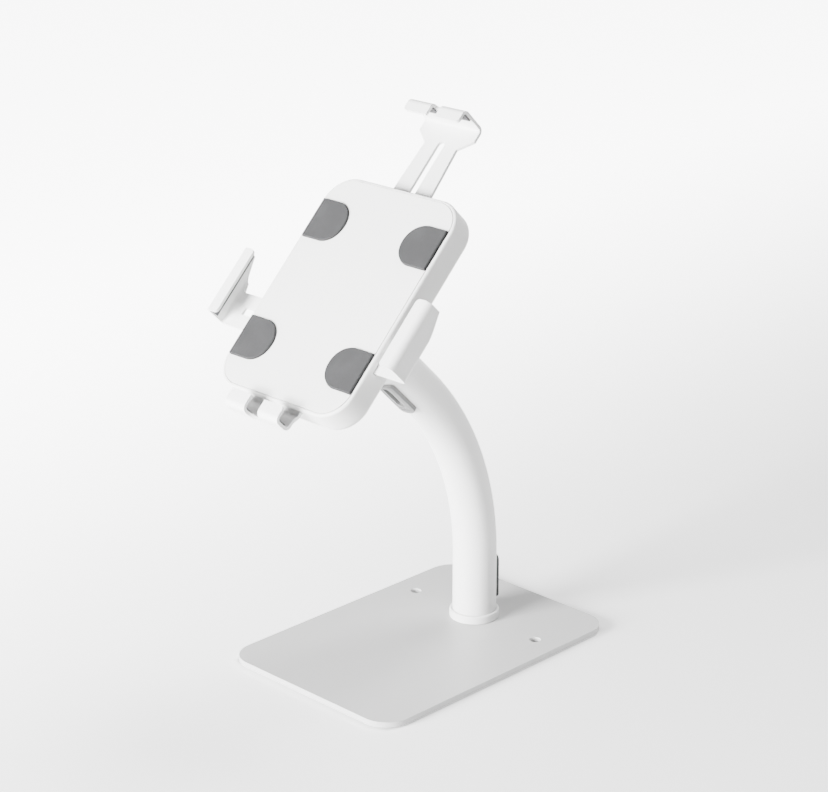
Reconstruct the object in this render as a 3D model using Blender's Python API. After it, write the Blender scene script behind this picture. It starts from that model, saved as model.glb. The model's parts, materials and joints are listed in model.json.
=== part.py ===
"""Lockable desk stand for a tablet.

A steel foot plate carries a bent round tube.  A tilt hinge and a swivel on the
tube's upper end hold a flat housing, and four bent sheet clamps reach out of
the housing round the tablet's edges.

World frame: metres, +Z up, origin at the middle of the foot mat's underside,
the tablet faces -Y.  The head is modelled in its own frames: tilt_axis lies on
the hinge bolt (local Y runs up the tablet, local Z out of its front), and
spin_axis is parallel to it through the middle of the housing.
"""
from math import cos, pi, radians, sin, tan

import bmesh
import bpy
from mathutils import Matrix, Vector

GAP = 0.0003                    # kept between pieces that touch

# Foot
BASE_X, BASE_Y = 0.160, 0.230
BASE_CORNER = 0.020
MAT_THICK, MAT_INSET = 0.0009, 0.003
PLATE_THICK = 0.004
PLATE_Z = MAT_THICK + GAP
BASE_TOP = PLATE_Z + PLATE_THICK
BOLT_DOWN_X, BOLT_DOWN_R = 0.060, 0.0033
BASE_BOLT_RING = 0.0085         # radius of the ring of three base bolts
BASE_BOLT_R, BASE_BOLT_HEAD_R = 0.0024, 0.0050
BASE_BOLT_TOP = 0.0135

# Tube
TUBE_Y = 0.055                  # tube axis ahead of the plate's middle
TUBE_R, TUBE_WALL = 0.016, 0.0015
TUBE_STRAIGHT = 0.049           # upright length below the bend
TUBE_BEND_R = 0.200
HEAD_TILT = radians(45)         # bend angle, and the tablet's lean at rest
TUBE_END = 0.044                # straight length above the bend
TUBE_SIDES = 32
COLLAR_R, COLLAR_H = 0.0182, 0.006
PLUG_R = TUBE_R - TUBE_WALL - GAP
FOOT_PLUG_TOP = 0.0165

# Cable grommets: length along the tube, width across it
LOWER_GROMMET_L, UPPER_GROMMET_L = 0.0330, 0.0355
GROMMET_W, GROMMET_CORNER = 0.0185, 0.0035
GROMMET_PROUD, GROMMET_FLANGE = 0.0027, 0.0022
GROMMET_RIM, GROMMET_FLOOR = 0.0025, 0.0010     # rim's width, and the sunk middle's height
GROMMET_HOLE_L, GROMMET_HOLE_W, GROMMET_HOLE_CORNER = 0.0245, 0.0075, 0.003
LOWER_GROMMET_Z = BASE_TOP + 0.028
UPPER_GROMMET_S = 0.0175        # past the end of the bend

# Tilt hinge, in the tilt_axis frame
HINGE_S = 0.0625                # hinge axis past the end of the bend
TONGUE_HALF, KNUCKLE_R = 0.0065, 0.011
WASHER_T, WASHER_R = 0.0012, 0.009
CHEEK_T = 0.006
CHEEK_IN = TONGUE_HALF + 2 * GAP + WASHER_T
CHEEK_OUT = CHEEK_IN + CHEEK_T
HINGE_BOLT_R, HINGE_HOLE_R = 0.004, 0.0043
HINGE_HEAD_R, HINGE_HEAD_H = 0.007, 0.005
HINGE_NUT_AF, HINGE_NUT_H = 0.013, 0.0065
END_FLANGE_R, END_FLANGE_T = 0.0165, 0.0035
END_PLUG_L = 0.009

# Swivel, z from the hinge axis
SPIN_OFFSET = 0.0075            # spin axis above the hinge axis, up the tablet
DISC_R, DISC_Z0, DISC_Z1 = 0.027, 0.022, 0.0279
FRICTION_R, FRICTION_T = 0.016, 0.0015
SWIVEL_R, SWIVEL_HOLE_R = 0.004, 0.0043
SWIVEL_HEAD_R, SWIVEL_HEAD_H = 0.008, 0.0035
SWIVEL_NUT_AF, SWIVEL_NUT_H = 0.013, 0.006
STOP_RING, STOP_R = 0.021, 0.002
STOP_GROOVE = 0.0025            # half width and depth of the stop groove

# Housing, in the spin_axis frame
SHELL_X, SHELL_Y, SHELL_CORNER = 0.0605, 0.0840, 0.0215
SHELL_Z0, SHELL_Z1 = 0.030, 0.0522
SHELL_WALL = 0.0022
FLOOR_Z = SHELL_Z0 + 0.0025
FACE_X, FACE_Y, FACE_CORNER = 0.0580, 0.0815, 0.0192
FACE_Z0, FACE_Z1 = 0.050, 0.0525
PAD_X0, PAD_X1, PAD_HALF, PAD_Y = 0.0274, 0.0579, 0.0152, 0.0477
POCKET_Z, PAD_TOP = 0.0515, 0.0542
FACE_SCREW_X, FACE_SCREW_Y = 0.049, 0.054
FACE_SCREW_R, FACE_SCREW_HEAD_R = 0.0015, 0.003
POST_R = 0.0042

# Sheet clamps, in the spin_axis frame
SHEET = 0.0022
BEND_OUT = 0.0045               # outer radius of the sheet bends
TABLET_Z = 0.0545                # underside of the tablet
LIP_Z = 0.0653
LINER = 0.0008
SIDE_OUT, SIDE_LIP_X = 0.0884, 0.0772
SIDE_LOW, SIDE_HIGH, SIDE_ARM_HIGH = -0.0425, 0.0080, -0.0168
SIDE_ARM_END, SIDE_ARM_Z = 0.020, 0.0447
SIDE_TAPER_Z = 0.0544
SIDE_SLOT_X0, SIDE_SLOT_X1, SIDE_SLOT_HALF = 0.026, 0.0745, 0.0027
SIDE_BOLT_X, SIDE_BOLT_R, SIDE_NUT_HALF = 0.043, 0.0024, 0.005

TOP_OUT, TOP_LIP_Y = 0.1462, 0.1356
TOP_HALF, HOOK_GAP = 0.0254, 0.0042
TOP_ARM_Z, TOP_ARM_END = 0.0400, 0.0285
TOP_ARM_HALF, TOP_NECK_HALF = 0.0172, 0.0147
TOP_TAPER_Y0, TOP_TAPER_Y1, TOP_FLARE_Y = 0.0848, 0.1265, 0.1350
TOP_SLOT_Y0, TOP_SLOT_Y1, TOP_SLOT_HALF = 0.0365, 0.1300, 0.0030
HOOK_GAP_Z = 0.0595

LOW_OUT, LOW_LIP_Y = -0.1004, -0.0888
LOW_HALF, NOTCH_HALF = 0.0250, 0.0065
LOW_LEG_Z, LOW_TAIL_Z = 0.0501, 0.0475
LOW_STEP_Y0, LOW_STEP_Y1, LOW_TAIL_END = -0.0930, -0.0880, -0.0655
LOW_SCREW_X, LOW_SCREW_Y = 0.016, -0.0715

# Lock and latch of the top clamp
LOCK_X, LATCH_Y = -0.032, 0.0405
LOCK_R, LOCK_BORE_R, LOCK_PLUG_R = 0.0068, 0.0048, 0.0045
LOCK_FLANGE_R, LOCK_NUT_AF = 0.0092, 0.016
LATCH_HALF = 0.0093
CAM_R, CAM_PIN_ORBIT, CAM_PIN_R = 0.0065, 0.00212, 0.0014
TOOTH_HALF, TOOTH_TIP = 0.0010, -0.0180
NOTCH_PITCH, NOTCH_COUNT, NOTCH_DEPTH = 0.004, 13, 0.0025

WHITE_COAT = ((0.83, 0.83, 0.82), 0.42, 0.0)
WHITE_PLASTIC = ((0.80, 0.80, 0.79), 0.48, 0.0)
GREY_RUBBER = ((0.22, 0.22, 0.22), 0.80, 0.0)
GREY_PLASTIC = ((0.30, 0.30, 0.30), 0.60, 0.0)
BLACK_PLASTIC = ((0.03, 0.03, 0.03), 0.50, 0.0)
STEEL = ((0.60, 0.60, 0.61), 0.30, 1.0)
CHROME = ((0.75, 0.75, 0.76), 0.15, 1.0)


# ---------------------------------------------------------------- outlines

def arc(centre_x, centre_y, radius, start, end, steps):
    """Points along an arc, both ends included, angles in degrees."""
    angles = [radians(start + (end - start) * i / steps) for i in range(steps + 1)]
    return [(centre_x + radius * cos(a), centre_y + radius * sin(a)) for a in angles]


def rounded_rect(half_x, half_y, radius, steps=5):
    cx, cy = half_x - radius, half_y - radius
    return (arc(cx, cy, radius, 0, 90, steps) + arc(-cx, cy, radius, 90, 180, steps)
            + arc(-cx, -cy, radius, 180, 270, steps) + arc(cx, -cy, radius, 270, 360, steps))


def rectangle(x0, x1, y0, y1):
    return [(x0, y0), (x1, y0), (x1, y1), (x0, y1)]


def obround(x0, x1, y, half, steps=6):
    """A slot along x from x0 to x1, with round ends."""
    return (arc(x1 - half, y, half, -90, 90, steps)
            + arc(x0 + half, y, half, 90, 270, steps))


def polygon(radius, sides, turn=0.0):
    return arc(0, 0, radius, turn, turn + 360 * (sides - 1) / sides, sides - 1)


def hexagon(across_flats, turn=0.0):
    return polygon(across_flats / 2 / cos(pi / 6), 6, turn)


def shifted(outline, dx=0.0, dy=0.0):
    return [(x + dx, y + dy) for x, y in outline]


def swapped(outline):
    return [(y, x) for x, y in outline]


def mirrored(outline):
    return [(-x, y) for x, y in outline]


def d_shape(x0, x1, half, y, steps=8):
    """Flat end at x1, half round end at x0."""
    return [(x1, y + half)] + arc(x0 + half, y, half, 90, 270, steps) + [(x1, y - half)]


def offset_path(points, distance):
    """The polyline moved to its left by distance, corners kept sharp."""
    moved = []
    last = len(points) - 1
    for i, point in enumerate(points):
        here = Vector(point)
        before = (here - Vector(points[i - 1])).normalized() if i > 0 else None
        after = (Vector(points[i + 1]) - here).normalized() if i < last else None
        before = before or after
        after = after or before
        normal = Vector((-before.y - after.y, before.x + after.x)).normalized()
        moved.append(here + normal * distance / normal.dot(Vector((-before.y, before.x))))
    return [(p.x, p.y) for p in moved]


def filleted(points, left_radius, right_radius, steps=4):
    """The polyline with each inner corner rounded by its turn's radius."""
    path = [points[0]]
    for i in range(1, len(points) - 1):
        corner = Vector(points[i])
        back = (Vector(points[i - 1]) - corner).normalized()
        ahead = (Vector(points[i + 1]) - corner).normalized()
        turns_left = (-back).cross(ahead) > 0
        radius = left_radius if turns_left else right_radius
        half = back.angle(ahead) / 2
        centre = corner + (back + ahead).normalized() * radius / sin(half)
        first = corner + back * radius / tan(half) - centre
        sweep = (pi - 2 * half) * (1 if turns_left else -1)
        for k in range(steps + 1):
            spoke = first.copy()
            spoke.rotate(Matrix.Rotation(sweep * k / steps, 2))
            path.append(tuple(centre + spoke))
    return path + [points[-1]]


def bent_strip(points, thickness=SHEET, outer_radius=BEND_OUT):
    """Section of a bent sheet whose outer face follows the points, body on their left."""
    inner_radius = outer_radius - thickness
    outer = filleted(points, outer_radius, inner_radius)
    inner = filleted(offset_path(points, thickness), inner_radius, outer_radius)
    return outer + inner[::-1]


# ---------------------------------------------------------------- solids

ALONG_Z = Matrix.Identity(4)
ALONG_X = Matrix(((0, 0, 1, 0), (1, 0, 0, 0), (0, 1, 0, 0), (0, 0, 0, 1)))   # outline is (y, z)
ALONG_Y = Matrix(((1, 0, 0, 0), (0, 0, 1, 0), (0, 1, 0, 0), (0, 0, 0, 1)))   # outline is (x, z)


def prism(outline, start, end, frame=ALONG_Z):
    solid = bmesh.new()
    face = solid.faces.new([solid.verts.new((x, y, start)) for x, y in outline])
    sweep = bmesh.ops.extrude_face_region(solid, geom=[face])
    top = [v for v in sweep["geom"] if isinstance(v, bmesh.types.BMVert)]
    bmesh.ops.translate(solid, verts=top, vec=(0, 0, end - start))
    bmesh.ops.transform(solid, matrix=frame, verts=solid.verts)
    return solid


def block(x0, x1, y0, y1, z0, z1):
    return prism(rectangle(x0, x1, y0, y1), z0, z1)


def turned(profile, sides=24, frame=ALONG_Z):
    """A closed profile of (radius, height) points spun round the local Z axis."""
    solid = bmesh.new()
    verts = [solid.verts.new((r, 0, z)) for r, z in profile]
    edges = [solid.edges.new((verts[i - 1], verts[i])) for i in range(len(verts))]
    bmesh.ops.spin(solid, geom=verts + edges, axis=(0, 0, 1), cent=(0, 0, 0),
                   angle=2 * pi, steps=sides, use_merge=True)
    bmesh.ops.remove_doubles(solid, verts=solid.verts, dist=1e-6)
    bmesh.ops.dissolve_degenerate(solid, edges=solid.edges, dist=1e-6)
    on_axis = [edge for edge in solid.edges if not edge.link_faces]
    bmesh.ops.delete(solid, geom=on_axis, context="EDGES")
    bmesh.ops.transform(solid, matrix=frame, verts=solid.verts)
    return solid


def rod(radius, start, end, sides=24, frame=ALONG_Z):
    return prism(polygon(radius, sides), start, end, frame)


def ring(inner, outer, start, end, sides=24, frame=ALONG_Z):
    return turned([(inner, start), (outer, start), (outer, end), (inner, end)], sides, frame)


def loft(rings):
    """A solid through rings of points with equal counts; the first and last are capped."""
    solid = bmesh.new()
    loops = [[solid.verts.new(p) for p in points] for points in rings]
    count = len(loops[0])
    for low, high in zip(loops, loops[1:]):
        for i in range(count):
            j = (i + 1) % count
            solid.faces.new((low[i], low[j], high[j], high[i]))
    solid.faces.new(loops[0])
    solid.faces.new(loops[-1])
    return solid


# ---------------------------------------------------------------- objects

def material(name, look):
    colour, roughness, metallic = look
    finish = bpy.data.materials.new(name)
    finish.use_nodes = True
    shader = finish.node_tree.nodes["Principled BSDF"]
    shader.inputs["Base Color"].default_value = (*colour, 1)
    shader.inputs["Roughness"].default_value = roughness
    shader.inputs["Metallic"].default_value = metallic
    finish.diffuse_color = (*colour, 1)
    return finish


def add_object(name, solid, parent, location, rotation):
    bmesh.ops.recalc_face_normals(solid, faces=solid.faces)
    mesh = bpy.data.meshes.new(name)
    solid.to_mesh(mesh)
    solid.free()
    thing = bpy.data.objects.new(name, mesh)
    bpy.context.scene.collection.objects.link(thing)
    thing.parent = parent
    thing.location = location
    thing.rotation_euler = rotation
    return thing


def piece(name, solid, look, parent=None, location=(0, 0, 0), rotation=(0, 0, 0), smooth=True):
    thing = add_object(name, solid, parent, location, rotation)
    thing.data.materials.append(material(name, look))
    if smooth:
        thing.data.shade_smooth()
        thing.data.set_sharp_from_angle(angle=radians(35))
    return thing


def combine(target, solid, operation, location=None, rotation=None):
    """Cut, join or intersect the target with a hidden tool in the target's parent frame."""
    tool = add_object(f"tool_{target.name}_{len(target.modifiers)}", solid, target.parent,
                      target.location if location is None else location,
                      target.rotation_euler if rotation is None else rotation)
    tool.hide_render = True
    tool.display_type = "WIRE"
    step = target.modifiers.new(operation.lower(), "BOOLEAN")
    step.operation = operation
    step.solver = "EXACT"
    step.object = tool


def cut(target, solid, **place):
    combine(target, solid, "DIFFERENCE", **place)


def join(target, solid, **place):
    combine(target, solid, "UNION", **place)


def frame_empty(name, parent, location, rotation=(0, 0, 0)):
    empty = bpy.data.objects.new(name, None)
    bpy.context.scene.collection.objects.link(empty)
    empty.parent = parent
    empty.location = location
    empty.rotation_euler = rotation
    return empty


# ---------------------------------------------------------------- foot

def bolt_ring_places():
    angles = (radians(90 + 120 * k) for k in range(3))
    return [(BASE_BOLT_RING * cos(a), TUBE_Y + BASE_BOLT_RING * sin(a)) for a in angles]


def make_foot():
    half_x, half_y = BASE_X / 2, BASE_Y / 2
    mat = piece("base_mat", prism(rounded_rect(half_x - MAT_INSET, half_y - MAT_INSET,
                                               BASE_CORNER - MAT_INSET), 0, MAT_THICK),
                BLACK_PLASTIC)
    edge = 0.0005
    rings = []
    for inset, z in ((edge, PLATE_Z), (0, PLATE_Z + edge), (0, BASE_TOP - edge), (edge, BASE_TOP)):
        outline = rounded_rect(half_x - inset, half_y - inset, BASE_CORNER - inset, 6)
        rings.append([(x, y, z) for x, y in outline])
    plate = piece("base_plate", loft(rings), WHITE_COAT)

    for side in (-1, 1):
        hole = shifted(polygon(BOLT_DOWN_R, 20), side * BOLT_DOWN_X, TUBE_Y)
        cut(plate, prism(hole, 0, 2 * BASE_TOP))
        wide = shifted(polygon(BOLT_DOWN_R + 0.001, 20), side * BOLT_DOWN_X, TUBE_Y)
        cut(mat, prism(wide, -BASE_TOP, BASE_TOP))
    cut(mat, rod(BASE_BOLT_RING + BASE_BOLT_HEAD_R + 0.001, -BASE_TOP, BASE_TOP),
        location=(0, TUBE_Y, 0))

    head_low = PLATE_Z + GAP
    head_high = head_low + BASE_BOLT_HEAD_R - BASE_BOLT_R
    plug = piece("foot_plug", rod(PLUG_R, BASE_TOP + GAP, FOOT_PLUG_TOP, TUBE_SIDES), STEEL,
                 location=(0, TUBE_Y, 0))
    for number, (x, y) in enumerate(bolt_ring_places(), 1):
        bolt = turned([(0, head_low), (BASE_BOLT_HEAD_R, head_low), (BASE_BOLT_R, head_high),
                       (BASE_BOLT_R, BASE_BOLT_TOP), (0, BASE_BOLT_TOP)], 16)
        bolt = piece(f"base_bolt_{number}", bolt, STEEL, location=(x, y, 0))
        cut(bolt, prism(hexagon(0.003), 0, head_low + 0.0018))
        sink = turned([(0, 0), (BASE_BOLT_HEAD_R + PLATE_Z, 0),
                       (BASE_BOLT_R + GAP, head_high + GAP), (BASE_BOLT_R + GAP, 0.01), (0, 0.01)], 16)
        cut(plate, sink, location=(x, y, 0))
        cut(plug, rod(BASE_BOLT_R + GAP, 0, BASE_BOLT_TOP + GAP, 16), location=(x, y, 0))

    collar = [(TUBE_R + GAP, 0), (COLLAR_R, 0), (COLLAR_R, COLLAR_H - 0.0006),
              (COLLAR_R - 0.0006, COLLAR_H), (TUBE_R + GAP, COLLAR_H)]
    piece("tube_collar", turned(collar, TUBE_SIDES), WHITE_COAT,
          location=(0, TUBE_Y, BASE_TOP + GAP))


# ---------------------------------------------------------------- tube and grommets

def tube_centreline():
    """Stations along the tube: centre in the YZ plane and lean angle."""
    bottom = BASE_TOP + GAP
    knee = BASE_TOP + TUBE_STRAIGHT
    stations = [(TUBE_Y, bottom, 0.0)]
    steps = 14
    for k in range(steps + 1):
        lean = HEAD_TILT * k / steps
        stations.append((TUBE_Y - TUBE_BEND_R * (1 - cos(lean)),
                         knee + TUBE_BEND_R * sin(lean), lean))
    y, z, lean = stations[-1]
    stations.append((y - TUBE_END * sin(lean), z + TUBE_END * cos(lean), lean))
    return stations


def tube_solid(radius, stations):
    rings = []
    for y, z, lean in stations:
        place = Matrix.Translation((0, y, z)) @ Matrix.Rotation(lean, 4, "X")
        rings.append([place @ Vector((px, py, 0)) for px, py in polygon(radius, TUBE_SIDES)])
    return loft(rings)


def along_tube(distance):
    """A point on the straight upper end, past the end of the bend."""
    y, z, lean = tube_centreline()[-2]
    return (0, y - distance * sin(lean), z + distance * cos(lean))


def grommet_block(length, width, corner, inner, outer):
    """A block with rounded corners on the tube's +Y side, its length along local Z."""
    return prism(rounded_rect(width / 2, length / 2, corner, 4), inner, outer, ALONG_Y)


def grommet_cylinder(radius):
    return rod(radius, -UPPER_GROMMET_L, UPPER_GROMMET_L, TUBE_SIDES)


def make_grommet(name, length, location, rotation, look, tube):
    place = {"location": location, "rotation": rotation}
    near, far = TUBE_R / 2, 2 * TUBE_R

    def inset(margin, inner, outer):
        """A block with the grommet's outline, drawn in all round by a margin."""
        return grommet_block(length - 2 * margin, GROMMET_W - 2 * margin,
                             GROMMET_CORNER - margin, inner, outer)

    grommet = piece(name, inset(0, near, far), look, location=location, rotation=rotation)
    combine(grommet, grommet_cylinder(TUBE_R + GROMMET_PROUD), "INTERSECT")
    cut(grommet, grommet_cylinder(TUBE_R + GAP))
    cut(grommet, inset(GROMMET_RIM, TUBE_R + GROMMET_FLOOR, far))
    neck_inner, neck_outer = TUBE_R - TUBE_WALL - 0.003, TUBE_R + GROMMET_FLOOR / 2
    join(grommet, inset(GROMMET_FLANGE, neck_inner, neck_outer))
    cut(grommet, grommet_block(GROMMET_HOLE_L, GROMMET_HOLE_W, GROMMET_HOLE_CORNER, 0.005, far))
    cut(tube, inset(GROMMET_FLANGE - GAP, near, far), **place)


def make_tube():
    stations = tube_centreline()
    tube = piece("tube", tube_solid(TUBE_R, stations), WHITE_COAT)
    bottom, top = stations[0], stations[-1]
    reach = 0.002
    longer = ([(bottom[0], bottom[1] - reach, 0.0)] + stations[:-1]
              + [(top[0] - reach * sin(top[2]), top[1] + reach * cos(top[2]), top[2])])
    cut(tube, tube_solid(TUBE_R - TUBE_WALL, longer))
    make_grommet("lower_grommet", LOWER_GROMMET_L, (0, TUBE_Y, LOWER_GROMMET_Z), (0, 0, 0),
                 GREY_RUBBER, tube)
    make_grommet("upper_grommet", UPPER_GROMMET_L, along_tube(UPPER_GROMMET_S),
                 (-HEAD_TILT, 0, pi), GREY_PLASTIC, tube)
    return tube


# ---------------------------------------------------------------- tilt hinge and swivel

def make_head_plug(tilt_axis, tube):
    tube_end = TUBE_END - HINGE_S
    flange_low = tube_end + GAP
    flange_high = flange_low + END_FLANGE_T
    body = turned([(0, tube_end - END_PLUG_L), (PLUG_R, tube_end - END_PLUG_L),
                   (PLUG_R, flange_low), (END_FLANGE_R, flange_low), (END_FLANGE_R, flange_high),
                   (0, flange_high)], TUBE_SIDES)
    plug = piece("tube_end_plug", body, WHITE_COAT, tilt_axis)
    tongue = [(KNUCKLE_R, flange_high - 0.001)] + arc(0, 0, KNUCKLE_R, 0, 180, 10)
    tongue += [(-KNUCKLE_R, flange_high - 0.001)]
    join(plug, prism(tongue, -TONGUE_HALF, TONGUE_HALF, ALONG_X))
    cut(plug, rod(HINGE_HOLE_R, -TUBE_R, TUBE_R, 20, ALONG_X))

    screw_z = tube_end - END_PLUG_L / 2
    radius, depth = 0.002, 0.005
    for number, side in enumerate((-1, 1), 1):
        outer, inner = side * (TUBE_R - 0.0002), side * (TUBE_R - depth)
        at = {"location": (0, 0, screw_z)}
        screw = piece(f"plug_screw_{number}", rod(radius, inner, outer, 16, ALONG_X), STEEL,
                      tilt_axis, **at)
        cut(screw, prism(hexagon(0.002), outer - side * 0.0018, outer + side * 0.001, ALONG_X))
        bore = (side * (TUBE_R - depth - GAP), side * 2 * TUBE_R)
        cut(plug, rod(radius + GAP, *bore, 16, ALONG_X), **at)
        world = along_tube(screw_z + HINGE_S)
        cut(tube, rod(radius + GAP, *bore, 16, ALONG_X), location=world,
            rotation=(HEAD_TILT, 0, 0))


def make_fork(tilt_axis):
    spin = (0, SPIN_OFFSET, 0)
    fork = piece("tilt_fork", turned([(0, DISC_Z0), (DISC_R - 0.001, DISC_Z0),
                                      (DISC_R, DISC_Z0 + 0.001), (DISC_R, DISC_Z1), (0, DISC_Z1)],
                                     36), WHITE_COAT, tilt_axis, spin)
    cheek = [(KNUCKLE_R, DISC_Z0 + 0.002), (-KNUCKLE_R, DISC_Z0 + 0.002)]
    cheek += arc(0, 0, KNUCKLE_R, 180, 360, 10)
    for inner, outer in ((-CHEEK_OUT, -CHEEK_IN), (CHEEK_IN, CHEEK_OUT)):
        join(fork, prism(cheek, inner, outer, ALONG_X), location=(0, 0, 0))
    cut(fork, rod(HINGE_HOLE_R, -TUBE_R, TUBE_R, 20, ALONG_X), location=(0, 0, 0))
    cut(fork, rod(SWIVEL_HOLE_R, 0, SHELL_Z1, 20))
    sweep = 100
    groove = (arc(0, 0, STOP_RING + STOP_GROOVE, 90 - sweep, 90 + sweep, 24)
              + arc(0, 0, STOP_RING - STOP_GROOVE, 90 + sweep, 90 - sweep, 24))
    cut(fork, prism(groove, DISC_Z1 - STOP_GROOVE, DISC_Z1 + STOP_GROOVE))


def make_hinge_hardware(tilt_axis):
    head = CHEEK_OUT + GAP
    nut_end = -head - HINGE_NUT_H
    bolt = piece("hinge_bolt", turned([(0, nut_end - 0.002), (HINGE_BOLT_R, nut_end - 0.002),
                                       (HINGE_BOLT_R, head), (HINGE_HEAD_R, head),
                                       (HINGE_HEAD_R, head + HINGE_HEAD_H - 0.0006),
                                       (HINGE_HEAD_R - 0.0006, head + HINGE_HEAD_H),
                                       (0, head + HINGE_HEAD_H)], 20, ALONG_X), STEEL, tilt_axis)
    cut(bolt, prism(hexagon(0.005), head + HINGE_HEAD_H - 0.003, head + 0.01, ALONG_X))
    nut = piece("hinge_nut", prism(hexagon(HINGE_NUT_AF), nut_end, -head, ALONG_X), STEEL,
                tilt_axis, smooth=False)
    cut(nut, rod(HINGE_HOLE_R, nut_end - 0.01, 0, 20, ALONG_X))
    for number, side in enumerate((-1, 1), 1):
        faces = (side * (TONGUE_HALF + GAP), side * (TONGUE_HALF + GAP + WASHER_T))
        piece(f"hinge_washer_{number}", ring(HINGE_HOLE_R, WASHER_R, *faces, 24, ALONG_X),
              BLACK_PLASTIC, tilt_axis)


def make_swivel(tilt_axis, spin_axis):
    spin = (0, SPIN_OFFSET, 0)
    piece("friction_ring", ring(SWIVEL_HOLE_R, FRICTION_R, DISC_Z1 + GAP, DISC_Z1 + GAP + FRICTION_T,
                                28), BLACK_PLASTIC, tilt_axis, spin)
    washer_low = FLOOR_Z + GAP
    washer_high = washer_low + 0.0015
    piece("swivel_washer", ring(SWIVEL_HOLE_R, 0.010, washer_low, washer_high, 24), STEEL,
          tilt_axis, spin)
    head = washer_high + GAP
    nut_high = DISC_Z0 - GAP
    nut_low = nut_high - SWIVEL_NUT_H
    bolt = piece("swivel_bolt", turned([(0, nut_low - 0.001), (SWIVEL_R, nut_low - 0.001),
                                        (SWIVEL_R, head), (SWIVEL_HEAD_R, head),
                                        (SWIVEL_HEAD_R, head + SWIVEL_HEAD_H),
                                        (0, head + SWIVEL_HEAD_H)], 20), STEEL, tilt_axis, spin)
    cut(bolt, prism(hexagon(0.005), head + SWIVEL_HEAD_H - 0.0025, head + 0.01))
    nut = piece("swivel_nut", prism(hexagon(SWIVEL_NUT_AF, 30), nut_low, nut_high), STEEL,
                tilt_axis, spin, smooth=False)
    cut(nut, rod(SWIVEL_HOLE_R, 0, nut_high + 0.01, 20))
    pin_low = DISC_Z1 - STOP_GROOVE + GAP
    pin_head = FLOOR_Z + GAP
    piece("stop_pin", turned([(0, pin_low), (STOP_R, pin_low), (STOP_R, pin_head),
                              (STOP_R + 0.0015, pin_head), (STOP_R + 0.0015, pin_head + 0.001),
                              (0, pin_head + 0.001)], 16), STEEL, spin_axis, (0, STOP_RING, 0))


# ---------------------------------------------------------------- housing

def corner_places(half_x, half_y):
    return [(sx * half_x, sy * half_y) for sy in (1, -1) for sx in (-1, 1)]


def make_shell(spin_axis):
    back_edge = 0.006
    rings = []
    for angle in (0, 30, 60, 90):
        inset = back_edge * (1 - sin(radians(angle)))
        rings.append((inset, SHELL_Z0 + back_edge * (1 - cos(radians(angle)))))
    shoulder = 0.0018
    for angle in (0, 45, 90):
        inset = shoulder * (1 - cos(radians(angle)))
        rings.append((inset, SHELL_Z1 - shoulder * (1 - sin(radians(angle)))))
    rings += [(SHELL_WALL, SHELL_Z1), (SHELL_WALL, FLOOR_Z)]
    loops = []
    for inset, z in rings:
        outline = rounded_rect(SHELL_X - inset, SHELL_Y - inset, SHELL_CORNER - inset, 6)
        loops.append([(x, y, z) for x, y in outline])
    shell = piece("rear_shell", loft(loops), WHITE_PLASTIC, spin_axis)

    for x, y in corner_places(FACE_SCREW_X, FACE_SCREW_Y):
        join(shell, prism(shifted(polygon(POST_R, 12), x, y), FLOOR_Z - 0.001, FACE_Z0 - GAP))
        cut(shell, prism(shifted(polygon(FACE_SCREW_R + GAP, 10), x, y), FLOOR_Z + 0.008, SHELL_Z1))
    rail = 0.0025
    for y in (LATCH_Y - LATCH_HALF - GAP - rail, LATCH_Y + LATCH_HALF + GAP):
        join(shell, block(LOCK_X - 0.010, LOCK_X + 0.006, y, y + rail, FLOOR_Z - 0.001, 0.042))

    slack = 0.0006
    arm_mid, arm_half = (SIDE_LOW + SIDE_ARM_HIGH) / 2, (SIDE_ARM_HIGH - SIDE_LOW) / 2 + slack
    side_slot = rectangle(arm_mid - arm_half, arm_mid + arm_half,
                          SIDE_ARM_Z - slack, SIDE_ARM_Z + SHEET + slack)
    cut(shell, prism(side_slot, -2 * SHELL_X, 2 * SHELL_X, ALONG_X))
    top_half = TOP_ARM_HALF + slack
    top_slot = rectangle(-top_half, top_half, TOP_ARM_Z - slack, TOP_ARM_Z + SHEET + slack)
    cut(shell, prism(top_slot, SHELL_Y / 2, 2 * SHELL_Y, ALONG_Y))
    low_slot = rectangle(-LOW_HALF - slack, LOW_HALF + slack, LOW_TAIL_Z - GAP,
                         LOW_TAIL_Z + SHEET + GAP)
    cut(shell, prism(low_slot, -2 * SHELL_Y, -SHELL_Y / 2, ALONG_Y))

    bores = [(0, 0, SWIVEL_HOLE_R, 20), (0, STOP_RING, STOP_R + GAP, 16),
             (LOCK_X, LATCH_Y, LOCK_R + GAP, 24),
             (-SIDE_BOLT_X, arm_mid, SIDE_BOLT_R + GAP, 16),
             (SIDE_BOLT_X, arm_mid, SIDE_BOLT_R + GAP, 16)]
    for x, y, radius, sides in bores:
        cut(shell, prism(shifted(polygon(radius, sides), x, y), 0, FLOOR_Z + 0.002))


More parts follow.
